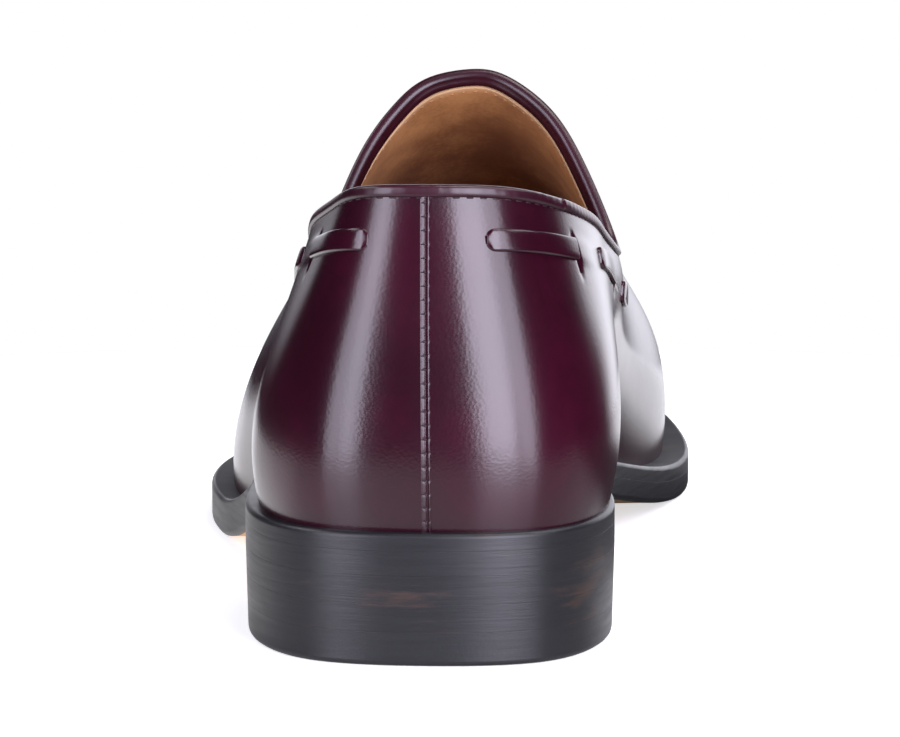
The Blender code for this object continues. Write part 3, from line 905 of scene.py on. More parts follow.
class LOAFER_OT_stage(bpy.types.Operator):
    """Camera, pale floor and soft studio light"""

    bl_idname = "loafer.stage"
    bl_label = "Stage"

    clip = (0.01, 50.0)
    floor_below = 0.1 * MM
    floor_sides = 96
    floor_mottle = 0.985
    floor_glow = (0.6, 0.6, 0.6)

    # The floor that light and gloss see: ends of each change in metres across or along the shoe, and tones
    right_side = (-0.06, 0.06)
    ahead_of_heel = (-0.15, -0.07)
    past_ball = (0.10, 0.18)
    patch_edge = (0.08, 0.16)
    patch_slant = 0.35
    dark_start = (-0.08, 0.0)
    bounce_left = (0.5, 0.5, 0.5)
    bounce_right = (0.3, 0.3, 0.3)
    bounce_dark = (0.05, 0.05, 0.05)
    glow_left = 0.40
    glow_lost_right = 0.15
    glow_lost_dark = 0.25
    glow_ahead_left = 0.5
    glow_patch = 0.4

    # The studio that light and gloss see: ends of each change in parts of the direction, shifts and tones
    to_right = (0.0, 0.5)
    to_left = (0.0, -0.5)
    left_rise = (0.0, 0.15)
    right_rise = (-0.02, 0.08)
    wall_side = (0.86, 0.97)
    wall_foot = (-0.09, 0.02)
    wider_right = 0.04
    wider_right_above = 0.09
    narrower_left = 0.05
    foot_slant = 0.12
    foot_drop_right = 0.14
    dark_tone = (0.012, 0.012, 0.016)
    wall_tone = (2.1, 2.1, 2.3)
    white = (1.0, 1.0, 1.0)

    # Soft boxes: azimuth is the angle from straight behind the heel, to the right above 0
    Box = namedtuple("Box", "name azimuth distance height wide tall power tint")
    light_aim = Vector((0.0, -0.1, 0.06))
    cool = (0.86, 0.84, 1.0)
    pale = (0.94, 0.93, 1.0)
    warm = (1.0, 0.98, 0.95)
    boxes = (
        Box("left_box", -38.5, 1.3, 0.36, 0.34, 1.2, 9.6, cool),
        Box("left_fill", -52.5, 1.3, 0.36, 0.30, 1.2, 5.8, cool),
        Box("right_box", 27.0, 1.3, 0.36, 0.58, 1.2, 22.0, cool),
        Box("right_fill", 49.5, 1.3, 0.36, 0.42, 1.2, 9.6, cool),
        Box("left_top", -98.0, 0.9, 0.9, 0.9, 0.4, 4.0, pale),
        Box("right_top", 98.0, 0.9, 0.9, 0.9, 0.4, 4.0, pale),
        Box("top_box", 80.0, 0.35, 1.3, 0.6, 0.6, 7.0, warm),
    )

    def execute(self, context):
        stage = context.scene.loafer_stage
        data = bpy.data.cameras.new("camera")
        data.lens = stage.lens
        data.clip_start, data.clip_end = self.clip
        camera = bpy.data.objects.new("camera", data)
        camera.location = stage.eye
        camera.rotation_euler = (Vector(stage.aim) - Vector(stage.eye)).to_track_quat("-Z", "Y").to_euler()
        context.scene.collection.objects.link(camera)
        context.scene.camera = camera
        context.scene.view_settings.view_transform = "Standard"
        self.add_floor(context.scene, stage)
        self.add_lights(context.scene)
        self.add_world(context.scene)
        return {"FINISHED"}

    def add_floor(self, scene, stage):
        """Pale to the eye. Light and gloss see it dimmer on the right, with a bright patch past the ball."""
        mesh = bpy.data.meshes.new("floor")
        shape = bmesh.new()
        bmesh.ops.create_circle(shape, cap_ends=True, segments=self.floor_sides, radius=stage.floor)
        shape.to_mesh(mesh)
        shape.free()
        floor = Finish("floor")
        grain = floor.noise(floor.place(), 6.0, detail=2.0)
        tone = [c * self.floor_mottle for c in stage.floor_tone]
        seen = floor.camera_ray()
        across, along = floor.axes(floor.place(), "XY")
        side = floor.between(across, *self.right_side)
        ahead = floor.between(along, *self.ahead_of_heel)
        patch = 1.0 - floor.between(across - along * self.patch_slant, *self.patch_edge)
        front = floor.between(along, *self.past_ball) * patch
        dark = side * floor.between(along, *self.dark_start) * (1.0 - front)
        # For light and gloss the floor is painted: painted shade on the right, darkest from the middle of
        # the shoe forward, a painted light patch past the ball, and a painted glow elsewhere
        bounce = floor.mix(dark, floor.mix(side, self.bounce_left, self.bounce_right), self.bounce_dark)
        glow = self.glow_left - side * self.glow_lost_right - dark * self.glow_lost_dark
        glow = glow + (1.0 - side) * ahead * self.glow_ahead_left + side * front * self.glow_patch
        mesh.materials.append(
            floor.give(
                Base_Color=floor.mix(seen, bounce, floor.mix(grain, tone, stage.floor_tone)),
                Roughness=0.6,
                Specular_IOR_Level=0.0,
                Coat_Weight=(1.0 - seen) * (1.0 - dark),
                Coat_Roughness=0.18,
                Emission_Color=floor.mix(seen, glow, self.floor_glow),
                Emission_Strength=1.0,
            )
        )
        obj = bpy.data.objects.new("floor", mesh)
        obj.location.z = -self.floor_below
        scene.collection.objects.link(obj)

    def add_lights(self, scene):
        aim = self.light_aim
        for box in self.boxes:
            turn = np.radians(box.azimuth)
            data = bpy.data.lights.new(box.name, "AREA")
            data.shape = "RECTANGLE"
            data.size = box.wide
            data.size_y = box.tall
            data.energy = box.power
            data.color = box.tint
            light = bpy.data.objects.new(box.name, data)
            x = aim.x + np.sin(turn) * box.distance
            y = aim.y - np.cos(turn) * box.distance
            light.location = (x, y, box.height)
            light.rotation_euler = (aim - light.location).to_track_quat("-Z", "Y").to_euler()
            scene.collection.objects.link(light)

    def add_world(self, scene):
        """White to the eye. Light and gloss see a white wall beyond the toe, and dark all round."""
        scene.world = bpy.data.worlds.new("studio")
        scene.world.use_nodes = True
        studio = Nodes(scene.world.node_tree)
        background = studio.tree.nodes["Background"]
        direction = studio.node("ShaderNodeTexCoord", "Generated", {}, {})
        across, forward, up = studio.axes(direction, "XYZ")
        right = studio.between(across, *self.to_right)
        left = studio.between(across, *self.to_left) * studio.between(up, *self.left_rise)
        wider = studio.between(up, *self.right_rise) * self.wider_right_above + self.wider_right
        ahead = forward + right * wider - left * self.narrower_left
        ahead = studio.between(ahead, *self.wall_side)
        height = up + across * self.foot_slant + right * ahead * self.foot_drop_right
        wall = ahead * studio.between(height, *self.wall_foot)
        lit = studio.mix(wall, self.dark_tone, self.wall_tone)
        studio.feed(background.inputs["Color"], studio.mix(studio.camera_ray(), lit, self.white))


class LOAFER_OT_outsole(bpy.types.Operator):
    """Outsole with inked edges, and the tan face let into its underside"""

    bl_idname = "loafer.outsole"
    bl_label = "Outsole"

    # The lower edge is rounded ahead of the heel: ends of that change from the heel's breast
    breast_blend = np.array([-2, 8]) * MM
    face_clearance = 0.05 * MM

    def execute(self, context):
        last = Last(context.scene)
        sole = last.sole
        at = last.places(SOLE_AROUND)
        border = last.sole_edge(at, sole.face_border)

        def face_back(plan):
            return last.sole_bottom(plan) + sole.face

        loops = face_loops(last, border, face_back, PLATE_SHARES)
        loops += [at_height(border, face_back), at_height(border, last.sole_bottom)]
        ahead = smooth(*(sole.heel_breast + self.breast_blend), last.plan(at)[:, 1])
        under = sole.layer_round + (sole.edge_round - sole.layer_round) * ahead
        high = sole.outsole + sole.gap / 2
        loops += edge_loops(last, at, rounded_edge(0.0, high, under, sole.layer_round))
        edge = last.sole_edge(at, sole.edge_round)
        loops += face_loops(last, edge, last.outsole_top, PLATE_SHARES[::-1])
        outsole = plate(last, "outsole_edge", loops, finish_of(context.scene, "inked_edge"))
        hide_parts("outsole")

        inside = last.sole_edge(at, sole.face_border + self.face_clearance)
        loops = face_loops(last, inside, last.sole_bottom, (*PLATE_SHARES, 1.0))
        loops += face_loops(last, inside, face_back, (1.0, *PLATE_SHARES[::-1]))
        face = plate(last, "outsole_face", loops, finish_of(context.scene, "sole_leather"))
        return {"FINISHED"}


class LOAFER_OT_welt(bpy.types.Operator):
    """Welt with a rounded, inked ledge"""

    bl_idname = "loafer.welt"
    bl_label = "Welt"

    def execute(self, context):
        last = Last(context.scene)
        sole = last.sole
        at = last.places(SOLE_AROUND)
        inner = last.sole_edge(at, last.column["margin"](at) + last.upper.lining_in)
        low = sole.outsole + sole.gap / 2
        high = sole.outsole + sole.gap + sole.welt
        loops = [at_height(inner, last.outsole_top)]
        loops += edge_loops(last, at, rounded_edge(low, high, sole.layer_round, sole.edge_round))
        loops.append(at_height(inner, last.welt_top))
        points = np.stack(loops, axis=1)
        dull = np.zeros(points.shape[:2])
        dull[:, -2:] = smooth(sole.heel_breast, sole.shank_start, points[:, -2:, 1])
        welt = ring(last, "welt_ledge", points, finish_of(context.scene, "inked_edge"), {"dull": dull})
        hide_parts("welt")
        return {"FINISHED"}


class LOAFER_OT_heel(bpy.types.Operator):
    """Stacked heel: leather lifts on a rubber top piece"""

    bl_idname = "loafer.heel"
    bl_label = "Heel"

    breast_points = 40

    def tapered(self, last, edge):
        """Edge drawn in evenly from the sole down to the floor."""
        taper = last.sole.heel_taper / last.heel_top()
        return [(inset + taper * (last.heel_top() - z), z) for inset, z in edge]

    def outline(self, last):
        """Sole's edge round the heel, closed by the hollowed breast."""
        sole = last.sole
        at = last.places(2 * SOLE_AROUND)
        edge = last.plan(at)
        behind_breast = edge[:, 1] < sole.heel_breast
        lateral = edge[behind_breast & (at < last.toe)]
        medial = edge[behind_breast & (at >= last.toe)]
        share = np.linspace(0.0, 1.0, self.breast_points)
        x = lateral[-1, 0] * (1 - share) + medial[0, 0] * share
        y = sole.heel_breast - sole.breast_hollow * 4 * share * (1 - share)
        return np.concatenate([medial, lateral, np.column_stack([x, y])[1:-1]])[::-1]

    def execute(self, context):
        last = Last(context.scene)
        sole = last.sole
        outline = self.outline(last)
        top = sole.top_piece + sole.gap / 2
        edge = self.tapered(last, rounded_edge(0.0, top, sole.edge_round, sole.layer_round))
        piece = slab(last, "top_piece", outline, edge, finish_of(context.scene, "heel_rubber"))
        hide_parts("heel_top_piece")
        for number in range(sole.lift_count, 0, -1):
            bottom = top
            top = bottom + sole.lift + sole.gap
            if number == 1:
                top = last.heel_top()
            edge = self.tapered(last, rounded_edge(bottom, top, sole.layer_round, sole.layer_round))
            lift = slab(last, f"lift_{number}", outline, edge, finish_of(context.scene, "inked_edge"))
            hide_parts(f"heel_lift_{number}")
        return {"FINISHED"}


class LOAFER_OT_insole(bpy.types.Operator):
    """Tan sock over the insole, cupped at its edge"""

    bl_idname = "loafer.insole"
    bl_label = "Insole"

    cup_power = 8

    def execute(self, context):
        last = Last(context.scene)
        sole = last.sole
        at = last.places(SOLE_AROUND)
        edge = last.sole_edge(at, last.column["margin"](at) + last.upper.lining_in + 2 * sole.gap)

        def underside(plan):
            return last.outsole_top(plan) + sole.gap

        loops = face_loops(last, edge, underside, (*PLATE_SHARES, 1.0))
        for share in (1.0, *PLATE_SHARES[::-1]):
            plan = last.toward_spine(edge, share)
            cup = sole.insole_cup * share**self.cup_power
            loops.append(np.column_stack([plan, last.insole_top(plan) + cup]))
        sock = plate(last, "sock", loops, finish_of(context.scene, "lining_leather"))
        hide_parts("insole")
        return {"FINISHED"}


class LOAFER_OT_upper(bpy.types.Operator):
    """Outer leather from welt to topline, with a slot cut at each end of the lace's runs"""

    bl_idname = "loafer.upper"
    bl_label = "Upper"

    # Slots: a back one is a share of the lace's width long, a front one reaches past it on both sides.
    # The slit lies a share of its own width before the slot's place and the rest past it.
    slot_above = 0.45 * MM
    back_slot_share = 0.36
    slit_before = 0.4
    slit_past = 0.6
    slot_reach = 160 * MM
    rounding = 1e-6

    # The leather is drawn in by a front slot, and bulges over the hidden lace up to the next slot. The
    # trough is painted darker as painted shade, with a depth at which that shade is full.
    drawn_in = 0.28 * MM
    drawn_along = 1.1 * MM
    drawn_across = 0.8 * MM
    drawn_dark = 0.4 * MM
    bulge_rise = np.array([0.4, 1.6]) * MM
    bulge_fall = 4 * MM
    bulge_end = 3 * MM
    bulge_share = 0.62

    # Burnish by the topline, the welt and the back seam: ends of each fade, and strength
    topline_fade = np.array([2, 9]) * MM
    welt_fade = np.array([0.5, 7]) * MM
    seam_fade = np.array([1, 6]) * MM
    topline_burnish = 0.5
    welt_burnish = 0.8
    seam_burnish = 0.6

    # Grid: places beside the slots, rows by the lace's line, and rows above and below those
    by_front_slot = np.concatenate([np.linspace(0.45, 2.7, 6), [3.3, 4.0]]) * MM
    by_back_slot = np.concatenate([[-3.4, -2.4], np.arange(-1.5, 2.8, 0.25), [3.4, 4.2]]) * MM
    clear_of_slot = 4.6 * MM
    band = np.concatenate([np.linspace(1.5, 2.9, 7), [3.3, 3.8, 4.4]]) * MM
    under_lace = np.linspace(-1.2, 1.2, 6) * MM
    below_slots = np.array([6.2, 7.4]) * MM
    start_share = 0.6
    rows_above = 9
    rows_below = 32

    def slots(self, lace):
        """Middle, upper and lower end of each slot: distance along the lace's line and across it."""
        half = lace.width / 2
        found = []
        for side in (-1, 1):
            for back, front in slot_distances(lace):
                found.append((side * back, -half * self.back_slot_share, half * self.back_slot_share))
                found.append((side * front, -half - self.slot_above, half + lace.slit_below))
        return found

    def places(self, last, lace):
        """Places round the shoe, with extra ones on both sides of each slot."""
        base = last.places(AROUND)
        by_front = np.concatenate([-self.by_front_slot, self.by_front_slot])
        extra = []
        for side in (-1, 1):
            for back, front in slot_distances(lace):
                for middle, columns in ((back, self.by_back_slot), (front, by_front)):
                    reach = side * (middle + np.array([-1, 1]) * self.clear_of_slot)
                    close = np.mod(lace_place(last, reach), last.period)
                    base = base[(base < close.min()) | (base > close.max())]
                    extra.append(lace_place(last, side * (middle + columns)))
        return np.sort(np.mod(np.concatenate([base, *extra]), last.period))

    def execute(self, context):
        scene = context.scene
        last = Last(scene)
        lace = scene.loafer_lace
        slots = self.slots(lace)
        at = self.places(last, lace)
        wall = Wall(last, at)
        line = last.column["lace"](at)[:, None]
        ends = sorted({round(end, 7) for slot in slots for end in slot[1:]})
        band = np.sort(np.concatenate([-self.band, self.under_lace, self.band, ends, self.below_slots]))
        start = scene.loafer_collar.bead * self.start_share
        above = start + (line + band[0] - start) * np.linspace(0.0, 1.0, self.rows_above)[None, :-1]
        low = line + band[-1]
        below = low + (wall.length[:, None] - low) * np.linspace(0.0, 1.0, self.rows_below)[None, 1:]
        down = np.hstack([above, line + band[None, :], below])

        missing, trough = self.cut(last, lace, slots, at, down - line)
        outer = wall.at(down, -trough)
        inner = wall.at(down, -last.upper.leather)
        burnish = self.burnish(last, at, down, wall.length[:, None])
        # Painted shade: darker in the troughs drawn in by the front slots, and less dark over the bulges
        marks = {"burnish": np.stack([np.clip(burnish + trough / self.drawn_dark, 0, 1), burnish])}
        leather = finish_of(scene, "polished_calf")
        upper = shell(last, "upper_leather", outer, inner, missing[:, :-1], leather, marks)
        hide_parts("upper")
        return {"FINISHED"}

    def cut(self, last, lace, slots, at, across):
        """Cells to leave out, and how far the leather is drawn in by front slots or, below 0, bulges."""
        missing = np.zeros(across.shape, bool)
        trough = np.zeros(across.shape)
        reach = np.linspace(-self.slot_reach, self.slot_reach, LINE_PROBES)
        places = lace_place(last, reach)
        signed = np.where(at > last.toe, at, at + last.period)
        distance = np.interp(signed, places[::-1], reach[::-1], left=1.0, right=-1.0)[:, None]
        for middle, top, bottom in slots:
            past = (distance - middle) * np.sign(middle)
            columns = (past > -self.slit_before * lace.slit) & (past < self.slit_past * lace.slit)
            rows = (across > top - self.rounding) & (across < bottom - self.rounding)
            missing |= columns & rows
            if bottom > lace.width / 2:
                beyond = np.clip(np.maximum(top - across, across - bottom), 0.0, None)
                away = (past / self.drawn_along) ** 2 + (beyond / self.drawn_across) ** 2
                trough += self.drawn_in * np.exp(-away)
        for _, front in slot_distances(lace):
            ahead = np.abs(distance) - front
            over = smooth(*self.bulge_rise, ahead)
            over = over * (1 - smooth(self.bulge_fall, lace.hidden - self.bulge_end, ahead))
            trough -= lace.bulge * over * np.exp(-((across / (self.bulge_share * lace.width)) ** 4))
        return missing, trough

    def burnish(self, last, at, down, length):
        """How dark the leather is rubbed: by the topline, by the welt and along the back seam."""
        top = 1 - smooth(*self.topline_fade, down)
        foot = 1 - smooth(*self.welt_fade, length - down)
        half_way = last.period / 2
        from_seam = np.abs(np.mod(at - last.seam() + half_way, last.period) - half_way)[:, None]
        seam = self.seam_burnish * (1 - smooth(*self.seam_fade, from_seam))
        return np.clip(self.topline_burnish * top + self.welt_burnish * foot + seam, 0.0, 1.0)


class LOAFER_OT_lining(bpy.types.Operator):
    """Tan lining behind the leather, cut short of the rim"""

    bl_idname = "loafer.lining"
    bl_label = "Lining"

    # Rows from the edge down, closer together by the edge, and how far above the welt they end
    rows = np.concatenate([[0.0, 0.004, 0.012], np.linspace(0.03, 1.0, 46)])
    above_welt = 0.4 * MM

    # Ends of each change down from the edge or toward the apex, and the strength of each painted shade
    raw_edge_fade = np.array([0.2, 1.0]) * MM
    depth_fade = np.array([3, 30]) * MM
    depth_shade = 0.68
    apex_near = (0.78, 1.0)
    apex_fade = np.array([0.3, 3]) * MM
    apex_shade = 0.55

    def execute(self, context):
        scene = context.scene
        last = Last(scene)
        at = last.places(AROUND)
        wall = Wall(last, at)
        top = collar_rim(last, scene, at)[:, None]
        down = top + (wall.length[:, None] - self.above_welt - top) * self.rows
        back = wall.at(down, -last.upper.lining_out)
        face = wall.at(down, -last.upper.lining_in)
        raw_edge = 1 - smooth(*self.raw_edge_fade, down - top)
        by_apex = smooth(*self.apex_near, to_apex(last, at))[:, None]
        under_apex = by_apex * smooth(*self.apex_fade, down - top)
        deep = self.depth_shade * smooth(*self.depth_fade, down - top) + self.apex_shade * under_apex
        deep = np.clip(deep, 0.0, 1.0)
        # The 'deep' mark is painted shade: on the face, darker deep inside and under the apex; on the back,
        # seen through the slots, fully dark
        marks = {"raw_edge": np.stack([raw_edge, raw_edge]), "deep": np.stack([deep, np.ones(deep.shape)])}
        missing = np.zeros((len(at), down.shape[1] - 1), bool)
        lining = shell(last, "lining", face, back, missing, finish_of(scene, "lining_leather"), marks)
        return {"FINISHED"}


class LOAFER_OT_binding(bpy.types.Operator):
    """Rolled binding: a bead outside, a round top and a rim that runs on behind the lining"""

    bl_idname = "loafer.binding"
    bl_label = "Binding"

    stations = 1000
    clearance = 0.05 * MM
    bedding = 0.03 * MM

    # Section, in shares of the bead's height: its face from below, with shares of how far it stands out,
    # the half round at the top, the rim from there down, and the step behind the bead.
    bead_face = ((0.97, 0.55), (0.8, 0.93), (0.55, 1.0))
    top_height = 0.36
    top_turn = np.linspace(0.0, np.pi, 13)
    rim_start = 0.3
    rim_shares = np.linspace(0.15, 1.0, 8)
    puff_power = 0.8
    step_height = 0.5

    # Unevenness: two waves and the pull of the stitches, stronger by the throat
    long_wave = 9.1 * MM
    short_wave = 5.3 * MM
    short_wave_share = 0.7
    short_wave_start = 1.3
    stitch_pull = 0.5
    wave_pull = 0.4
    throat = 0.52
    throat_reach = 22 * MM
    throat_pull = 1.5

    # Overlap at the join: ends of its rise, and the length over which it levels out
    join_rise = np.array([-0.25, 0.1]) * MM
    join_fall = 16 * MM

    # Burnish of the bead's lower edge (two points) and of the hidden side (five)
    edge_points = 2
    edge_burnish = 0.8
    hidden_points = 5
    hidden_burnish = 0.5

    def standing_out(self, last, scene, at, run):
        """How far the bead stands out: uneven by stitches and hand, and stepped where its ends overlap."""
        collar = scene.loafer_collar
        pulled = np.cos(2 * np.pi * run / scene.loafer_thread.pitch)
        wander = np.sin(run / self.long_wave)
        wander = wander + self.short_wave_share * np.sin(run / self.short_wave + self.short_wave_start)
        to_throat = np.abs(np.abs(np.mod(at, last.period) - last.toe) - self.throat * last.toe)
        loose = 1 + self.throat_pull * np.exp(-((to_throat / self.throat_reach) ** 2))
        loose = loose * (1 - on_tongue(last, at))
        proud = collar.proud - collar.pucker * (pulled * self.stitch_pull + self.wave_pull * wander) * loose
        past_join = run[-1] - run - collar.join_place
        rise = smooth(*self.join_rise, past_join)
        return proud + collar.join_step * rise * (1 - smooth(0.0, self.join_fall, past_join))

    def section(self, last, scene, at, proud):
        """Pairs of distance down from the topline and height off the leather, once round the section."""
        collar = scene.loafer_collar
        bead = collar.bead
        shown = collar_rim(last, scene, at)
        rim = shown + collar.rim_tuck
        back = -last.upper.leather - self.clearance
        front = -last.upper.lining_out + self.bedding
        middle = (proud + front) / 2
        half = (proud - front) / 2
        section = [(bead, self.bedding)]
        section += [(bead * height, proud * share) for height, share in self.bead_face]
        for t in self.top_turn:
            down = bead * self.top_height * (1 - np.sin(t)) - self.clearance
            section.append((down, middle + half * np.cos(t)))
        puff = collar.puff * on_tongue(last, at)
        for share in self.rim_shares:
            down = shown * share + bead * self.rim_start * (1 - share)
            section.append((down, front - puff * np.sin(np.pi * share) ** self.puff_power))
        section += [(rim, front), (rim, back)]
        section += [(bead * self.step_height, back), (bead * self.step_height, self.bedding)]
        return section

    def execute(self, context):
        scene = context.scene
        last = Last(scene)
        at = even_places(last, lambda at: 0.0 * at, last.seam(), None, self.stations)
        wall = Wall(last, at)
        proud = self.standing_out(last, scene, at, run_along(wall.at(0.0, 0.0)))
        section = self.section(last, scene, at, proud)
        points = np.stack([wall.at(down, offset) for down, offset in section], axis=1)
        burnish = np.zeros(points.shape[:2])
        burnish[:, : self.edge_points] = self.edge_burnish
        burnish[:, -self.hidden_points :] = self.hidden_burnish
        marks = {"burnish": burnish, "soft": np.ones(burnish.shape)}
        binding = ring(last, "binding", points, finish_of(scene, "polished_calf"), marks)
        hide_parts("collar_binding")
        return {"FINISHED"}


class LOAFER_OT_lace(bpy.types.Operator):
    """Flat lace, woven through its slots from the front of one side round the heel to the other"""

    bl_idname = "loafer.lace"
    bl_label = "Lace"

    # Stations along the lace, closer together from before to past each slot
    station = 0.5 * MM
    close_station = 0.1 * MM
    beyond_front = 2.5 * MM
    before_back = 0.8 * MM
    past_back = 1 * MM
    before_front = 1.4 * MM
    past_front = 0.6 * MM

    clearance = 0.05 * MM
    front_slack = 0.2 * MM
    underside_rise = (0.05, 0.6)
    edge_fade = (0.36, 0.5)
    edge_burnish = 0.8

    def distances(self, lace):
        """Stations along the lace, close together where it goes through a slot."""
        runs = slot_distances(lace)
        end = runs[-1][1] + self.beyond_front
        reach = [np.arange(0.0, end + self.station / 2, self.station)]
        for back, front in runs:
            back_end = back + lace.round_end + self.past_back
            reach.append(np.arange(back - self.before_back, back_end, self.close_station))
            reach.append(np.arange(front - self.before_front, front + self.past_front, self.close_station))
        reach = np.unique(np.round(np.concatenate(reach), 6))
        return np.concatenate([-reach[:0:-1], reach])

    def execute(self, context):
        scene = context.scene
        last = Last(scene)
        lace = scene.loafer_lace
        distance = self.distances(lace)
        top_share, low_share, width_share, bent = self.shares(lace, np.abs(distance))
        dip = bent * np.where(distance < 0, lace.dip_lateral, lace.dip_medial)
        hidden_low = -last.upper.lining_out + self.clearance
        hidden_top = hidden_low + lace.hidden_thick
        low = hidden_low + (lace.lift - hidden_low) * low_share
        top = hidden_top + (lace.lift + lace.thick - dip - hidden_top) * top_share
        low = np.minimum(low, top - lace.hidden_thick / 2)
        full = lace.hidden_width + (lace.width - lace.hidden_width) * width_share
        at = lace_place(last, distance)
        wall = Wall(last, at)
        down = last.column["lace"](at)
        line = wall.at(down, 0.0)
        out, across = directions(line, wall.at(down, 1.0))
        points = []
        for aside, height in self.section():
            raised = low + (top - low) * height
            points.append(line + across * (full * aside)[:, None] + out * raised[:, None])
        points = np.stack(points, axis=1)
        edges = np.array([abs(aside) for aside, _ in self.section()])
        burnish = np.broadcast_to(smooth(*self.edge_fade, edges) * self.edge_burnish, points.shape[:2])
        # Painted shade: the lace is painted dark where it goes down into its slots and behind the leather
        burnish = np.maximum(burnish, 1 - smooth(0.0, lace.thick / 2, top)[:, None])
        leather = finish_of(scene, "polished_calf")
        piece = strip(last, "lace", points, leather, {"burnish": burnish})
        sides = ("lateral", "medial")
        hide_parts(*[f"lace_{side}_{i + 1}" for side in sides for i in range(lace.runs)])
        return {"FINISHED"}

    def shares(self, lace, reach):
        """How far top, underside and width have come out of the slots, and how far the top bends to them."""
        top, low, width, bent = np.zeros((4, len(reach)))
        for back, front in slot_distances(lace):
            from_back = reach - back
            to_front = front - reach
            shown = (from_back > -lace.nose) & (to_front > -self.front_slack)
            from_tip = from_back + lace.nose
            rounded = np.clip(from_tip / lace.round_end, 0.0, 1.0)
            emerged = np.clip(from_tip / lace.tip, 0.0, 1.0)
            near = np.clip(1 - from_tip / lace.dip_run, 0.0, 1.0)
            square = smooth(-self.front_slack, lace.square_end, to_front)
            top = np.where(shown, np.sqrt(1 - (1 - emerged) ** 2) * square, top)
            low = np.where(shown, smooth(*self.underside_rise, rounded) * square, low)
            width = np.where(shown, np.sqrt(1 - (1 - rounded) ** 2), width)
            bent = np.where(shown, near**2, bent)
        return top, low, width, bent

    def section(self):
        """Section of the lace as shares of its width and thickness: flat below, softly domed above."""
        crown = [(0.5, 0.0), (0.5, 0.35), (0.488, 0.62), (0.455, 0.82)]
        crown += [(0.40, 0.92), (0.28, 0.97), (0.14, 0.995)]
        mirrored = [(-aside, height) for aside, height in reversed(crown)]
        return crown + [(0.0, 1.0)] + mirrored


class LOAFER_OT_back_seam(bpy.types.Operator):
    """Closed back seam: a raised lip, a groove and a lower lip, drawn down by the stitches across it"""

    bl_idname = "loafer.back_seam"
    bl_label = "Back seam"

    station = 0.2 * MM
    start_share = 0.9

    # Section: points across each lip, how far they run on past it, and the groove between the lips
    wide_points = 12
    narrow_points = 10
    skirt = 0.2 * MM
    groove_side = 0.1 * MM
    groove_floor = 0.05 * MM
    lower_lip = 0.85
    swelling = 0.45
    bedded = 0.06 * MM
    foot_depth = 0.5 * MM
    notch_length = 0.32 * MM

    # Burnish of the lips, and the strength of the painted shade in the stitch notches
    lip_burnish = 0.1
    notch_burnish = 1.6

    # Stitches: how far above the welt they end, and shares of the lip's width and height and of the thread
    stitch_end = 1 * MM
    stitch_across = 0.5
    stitch_up = 0.55
    stitch_radius = 0.7

    def profile(self, upper, across):
        """Height of the seam across its width: both lips swell up to the groove, the outer one higher."""
        beside = np.abs(across)
        width = np.where(across > 0, upper.lip_wide, upper.lip_narrow)
        height = np.where(across > 0, upper.lip_height, self.lower_lip * upper.lip_height)
        climbed = np.clip((width - beside) / (width - upper.lip_crest), 0.0, 1.0)
        swell = climbed * (1 + self.swelling * (1 - climbed))
        return height * swell * smooth(self.groove_floor, upper.lip_crest, beside)

    def execute(self, context):
        scene = context.scene
        last = Last(scene)
        wall = Wall(last, [last.seam()])
        top = scene.loafer_collar.bead * self.start_share
        self.add_lips(scene, last, wall, top)
        self.add_stitches(scene, last, wall, top)
        return {"FINISHED"}

    def add_lips(self, scene, last, wall, top):
        upper = last.upper
        pitch = scene.loafer_thread.pitch
        down = np.arange(top, wall.length[0] + self.station / 2, self.station)
        line = wall.at(down[None, :], 0.0)[0]
        out, side = directions(line, wall.at(down[None, :], 1.0)[0])
        wide = np.linspace(upper.lip_wide + self.skirt, self.groove_side, self.wide_points)
        narrow = np.linspace(-self.groove_side, -upper.lip_narrow - self.skirt, self.narrow_points)
        across = np.concatenate([wide, narrow])
        phase = np.mod(down - top, pitch) / pitch
        notch = 1 - upper.lip_notch * np.exp(-(((phase - 0.5) * pitch / self.notch_length) ** 2))
        height = self.profile(upper, across)[None, :] * notch[:, None] - self.bedded
        face = line[:, None, :] + side[:, None, :] * across[None, :, None]
        face = face + out[:, None, :] * height[..., None]
        corners = [line + side * across[k] - out * self.foot_depth for k in (-1, 0)]
        points = np.concatenate([face, np.stack(corners, axis=1)], axis=1)
        burnish = np.full(points.shape[:2], self.lip_burnish)
        # Painted shade in the groove between the lips, and in the stitch notches
        burnish[:, self.wide_points - 1 : self.wide_points + 1] = 1.0
        burnish = np.maximum(burnish, (1 - notch)[:, None] * self.notch_burnish)
        marks = {"burnish": np.clip(burnish, 0, 1)}
        lips = strip(last, "back_seam", points, finish_of(scene, "polished_calf"), marks)

    def add_stitches(self, scene, last, wall, top):
        upper = last.upper
        thread = scene.loafer_thread
        down = np.arange(top + thread.pitch / 2, wall.length[0] - self.stitch_end, thread.pitch)
        middle = wall.at(down[None, :], 0.0)[0]
        up, along = directions(middle, wall.at(down[None, :], 1.0)[0])
        raised = upper.lip_height * (1 - upper.lip_notch)
        centres = middle + along * (upper.lip_wide * self.stitch_across) + up * (raised * self.stitch_up)
        leaning = unit(along - up * (upper.lip_height / upper.lip_wide))
        radius = thread.radius * self.stitch_radius
        black = finish_of(scene, "thread")
        stitches(last, "seam_stitches", centres, leaning, up, upper.lip_wide, radius, black)


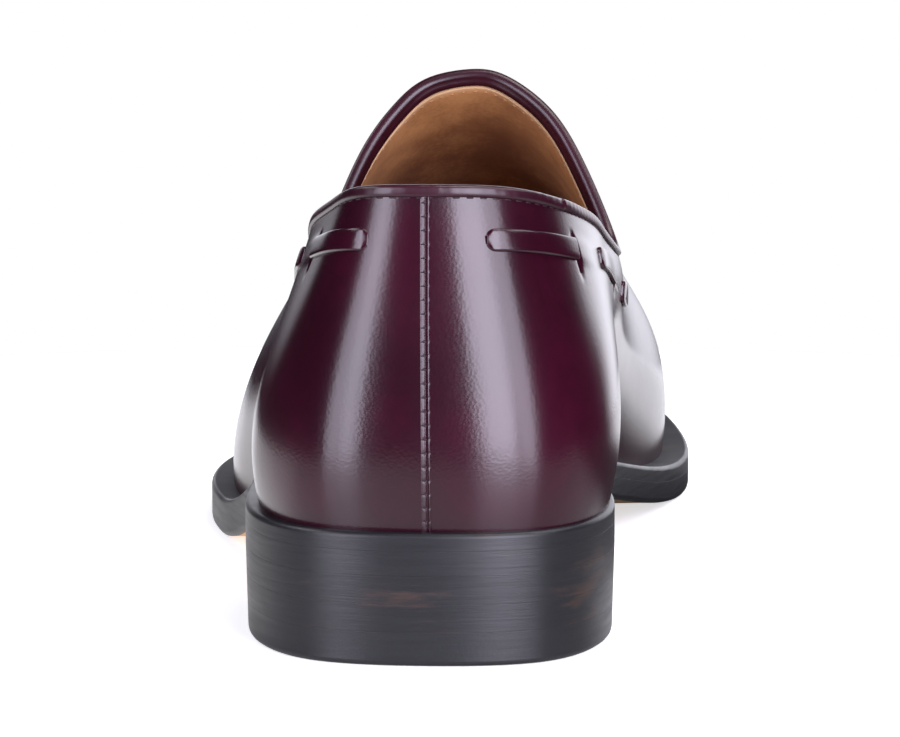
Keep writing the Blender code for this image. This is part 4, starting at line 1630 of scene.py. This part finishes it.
class LOAFER_OT_stitching(bpy.types.Operator):
    """Stitch rows under the bead and inside the lining's edge"""

    bl_idname = "loafer.stitching"
    bl_label = "Stitching"

    from_seam = 2 * MM
    collar_sunk = 0.06 * MM
    collar_radius = 0.9

    def row(self, last, name, down, offset, facing, pitch, length, radius, material):
        """Stitches along the line that lies down below the topline, off the leather by offset."""
        at = even_places(last, down, last.seam() + self.from_seam, pitch, None)
        wall = Wall(last, at)
        centres = wall.at(down(at), offset)
        up = (wall.at(down(at), offset + 1.0) - centres) * facing
        nearby = Wall(last, at + PROBE)
        along = nearby.at(down(at), offset) - centres
        return stitches(last, name, centres, along, up, length, radius, material)

    def execute(self, context):
        scene = context.scene
        last = Last(scene)
        thread = scene.loafer_thread
        collar = scene.loafer_collar
        self.row(
            last,
            "collar_stitches",
            lambda at: collar.bead + thread.collar_below + 0 * at,
            -self.collar_sunk,
            1.0,
            thread.pitch,
            thread.length,
            thread.radius * self.collar_radius,
            finish_of(scene, "thread"),
        )
        self.row(
            last,
            "lining_stitches",
            lambda at: collar_rim(last, scene, at) + thread.lining_below,
            -last.upper.lining_in,
            -1.0,
            thread.pitch,
            thread.lining_length,
            thread.radius,
            finish_of(scene, "lining_thread"),
        )
        return {"FINISHED"}


GROUPS = {
    "loafer_sole": LoaferSole,
    "loafer_upper": LoaferUpper,
    "loafer_collar": LoaferCollar,
    "loafer_lace": LoaferLace,
    "loafer_thread": LoaferThread,
    "loafer_finish": LoaferFinish,
    "loafer_stage": LoaferStage,
}
OPERATORS = (
    LOAFER_OT_stage,
    LOAFER_OT_outsole,
    LOAFER_OT_welt,
    LOAFER_OT_heel,
    LOAFER_OT_insole,
    LOAFER_OT_upper,
    LOAFER_OT_lining,
    LOAFER_OT_binding,
    LOAFER_OT_lace,
    LOAFER_OT_back_seam,
    LOAFER_OT_stitching,
)


class LOAFER_PT_looks(bpy.types.Panel):
    """Lists the pieces and their sizes"""

    bl_idname = "LOAFER_PT_looks"
    bl_label = "Loafer"
    bl_space_type = "VIEW_3D"
    bl_region_type = "UI"
    bl_category = "Loafer"

    def draw(self, context):
        for operator in OPERATORS:
            self.layout.operator(operator.bl_idname)
        for name, group in GROUPS.items():
            box = self.layout.box()
            box.label(text=group.__doc__)
            for key in group.__annotations__:
                box.prop(getattr(context.scene, name), key)


CLASSES = (*GROUPS.values(), *OPERATORS, LOAFER_PT_looks)


def register():
    for cls in CLASSES:
        bpy.utils.register_class(cls)
    for name, group in GROUPS.items():
        setattr(bpy.types.Scene, name, PointerProperty(type=group))


def unregister():
    for name in GROUPS:
        delattr(bpy.types.Scene, name)
    for cls in reversed(CLASSES):
        bpy.utils.unregister_class(cls)


def main():
    register()
    for operator in OPERATORS:
        family, name = operator.bl_idname.split(".")
        getattr(getattr(bpy.ops, family), name)()


if __name__ == "__main__":
    main()
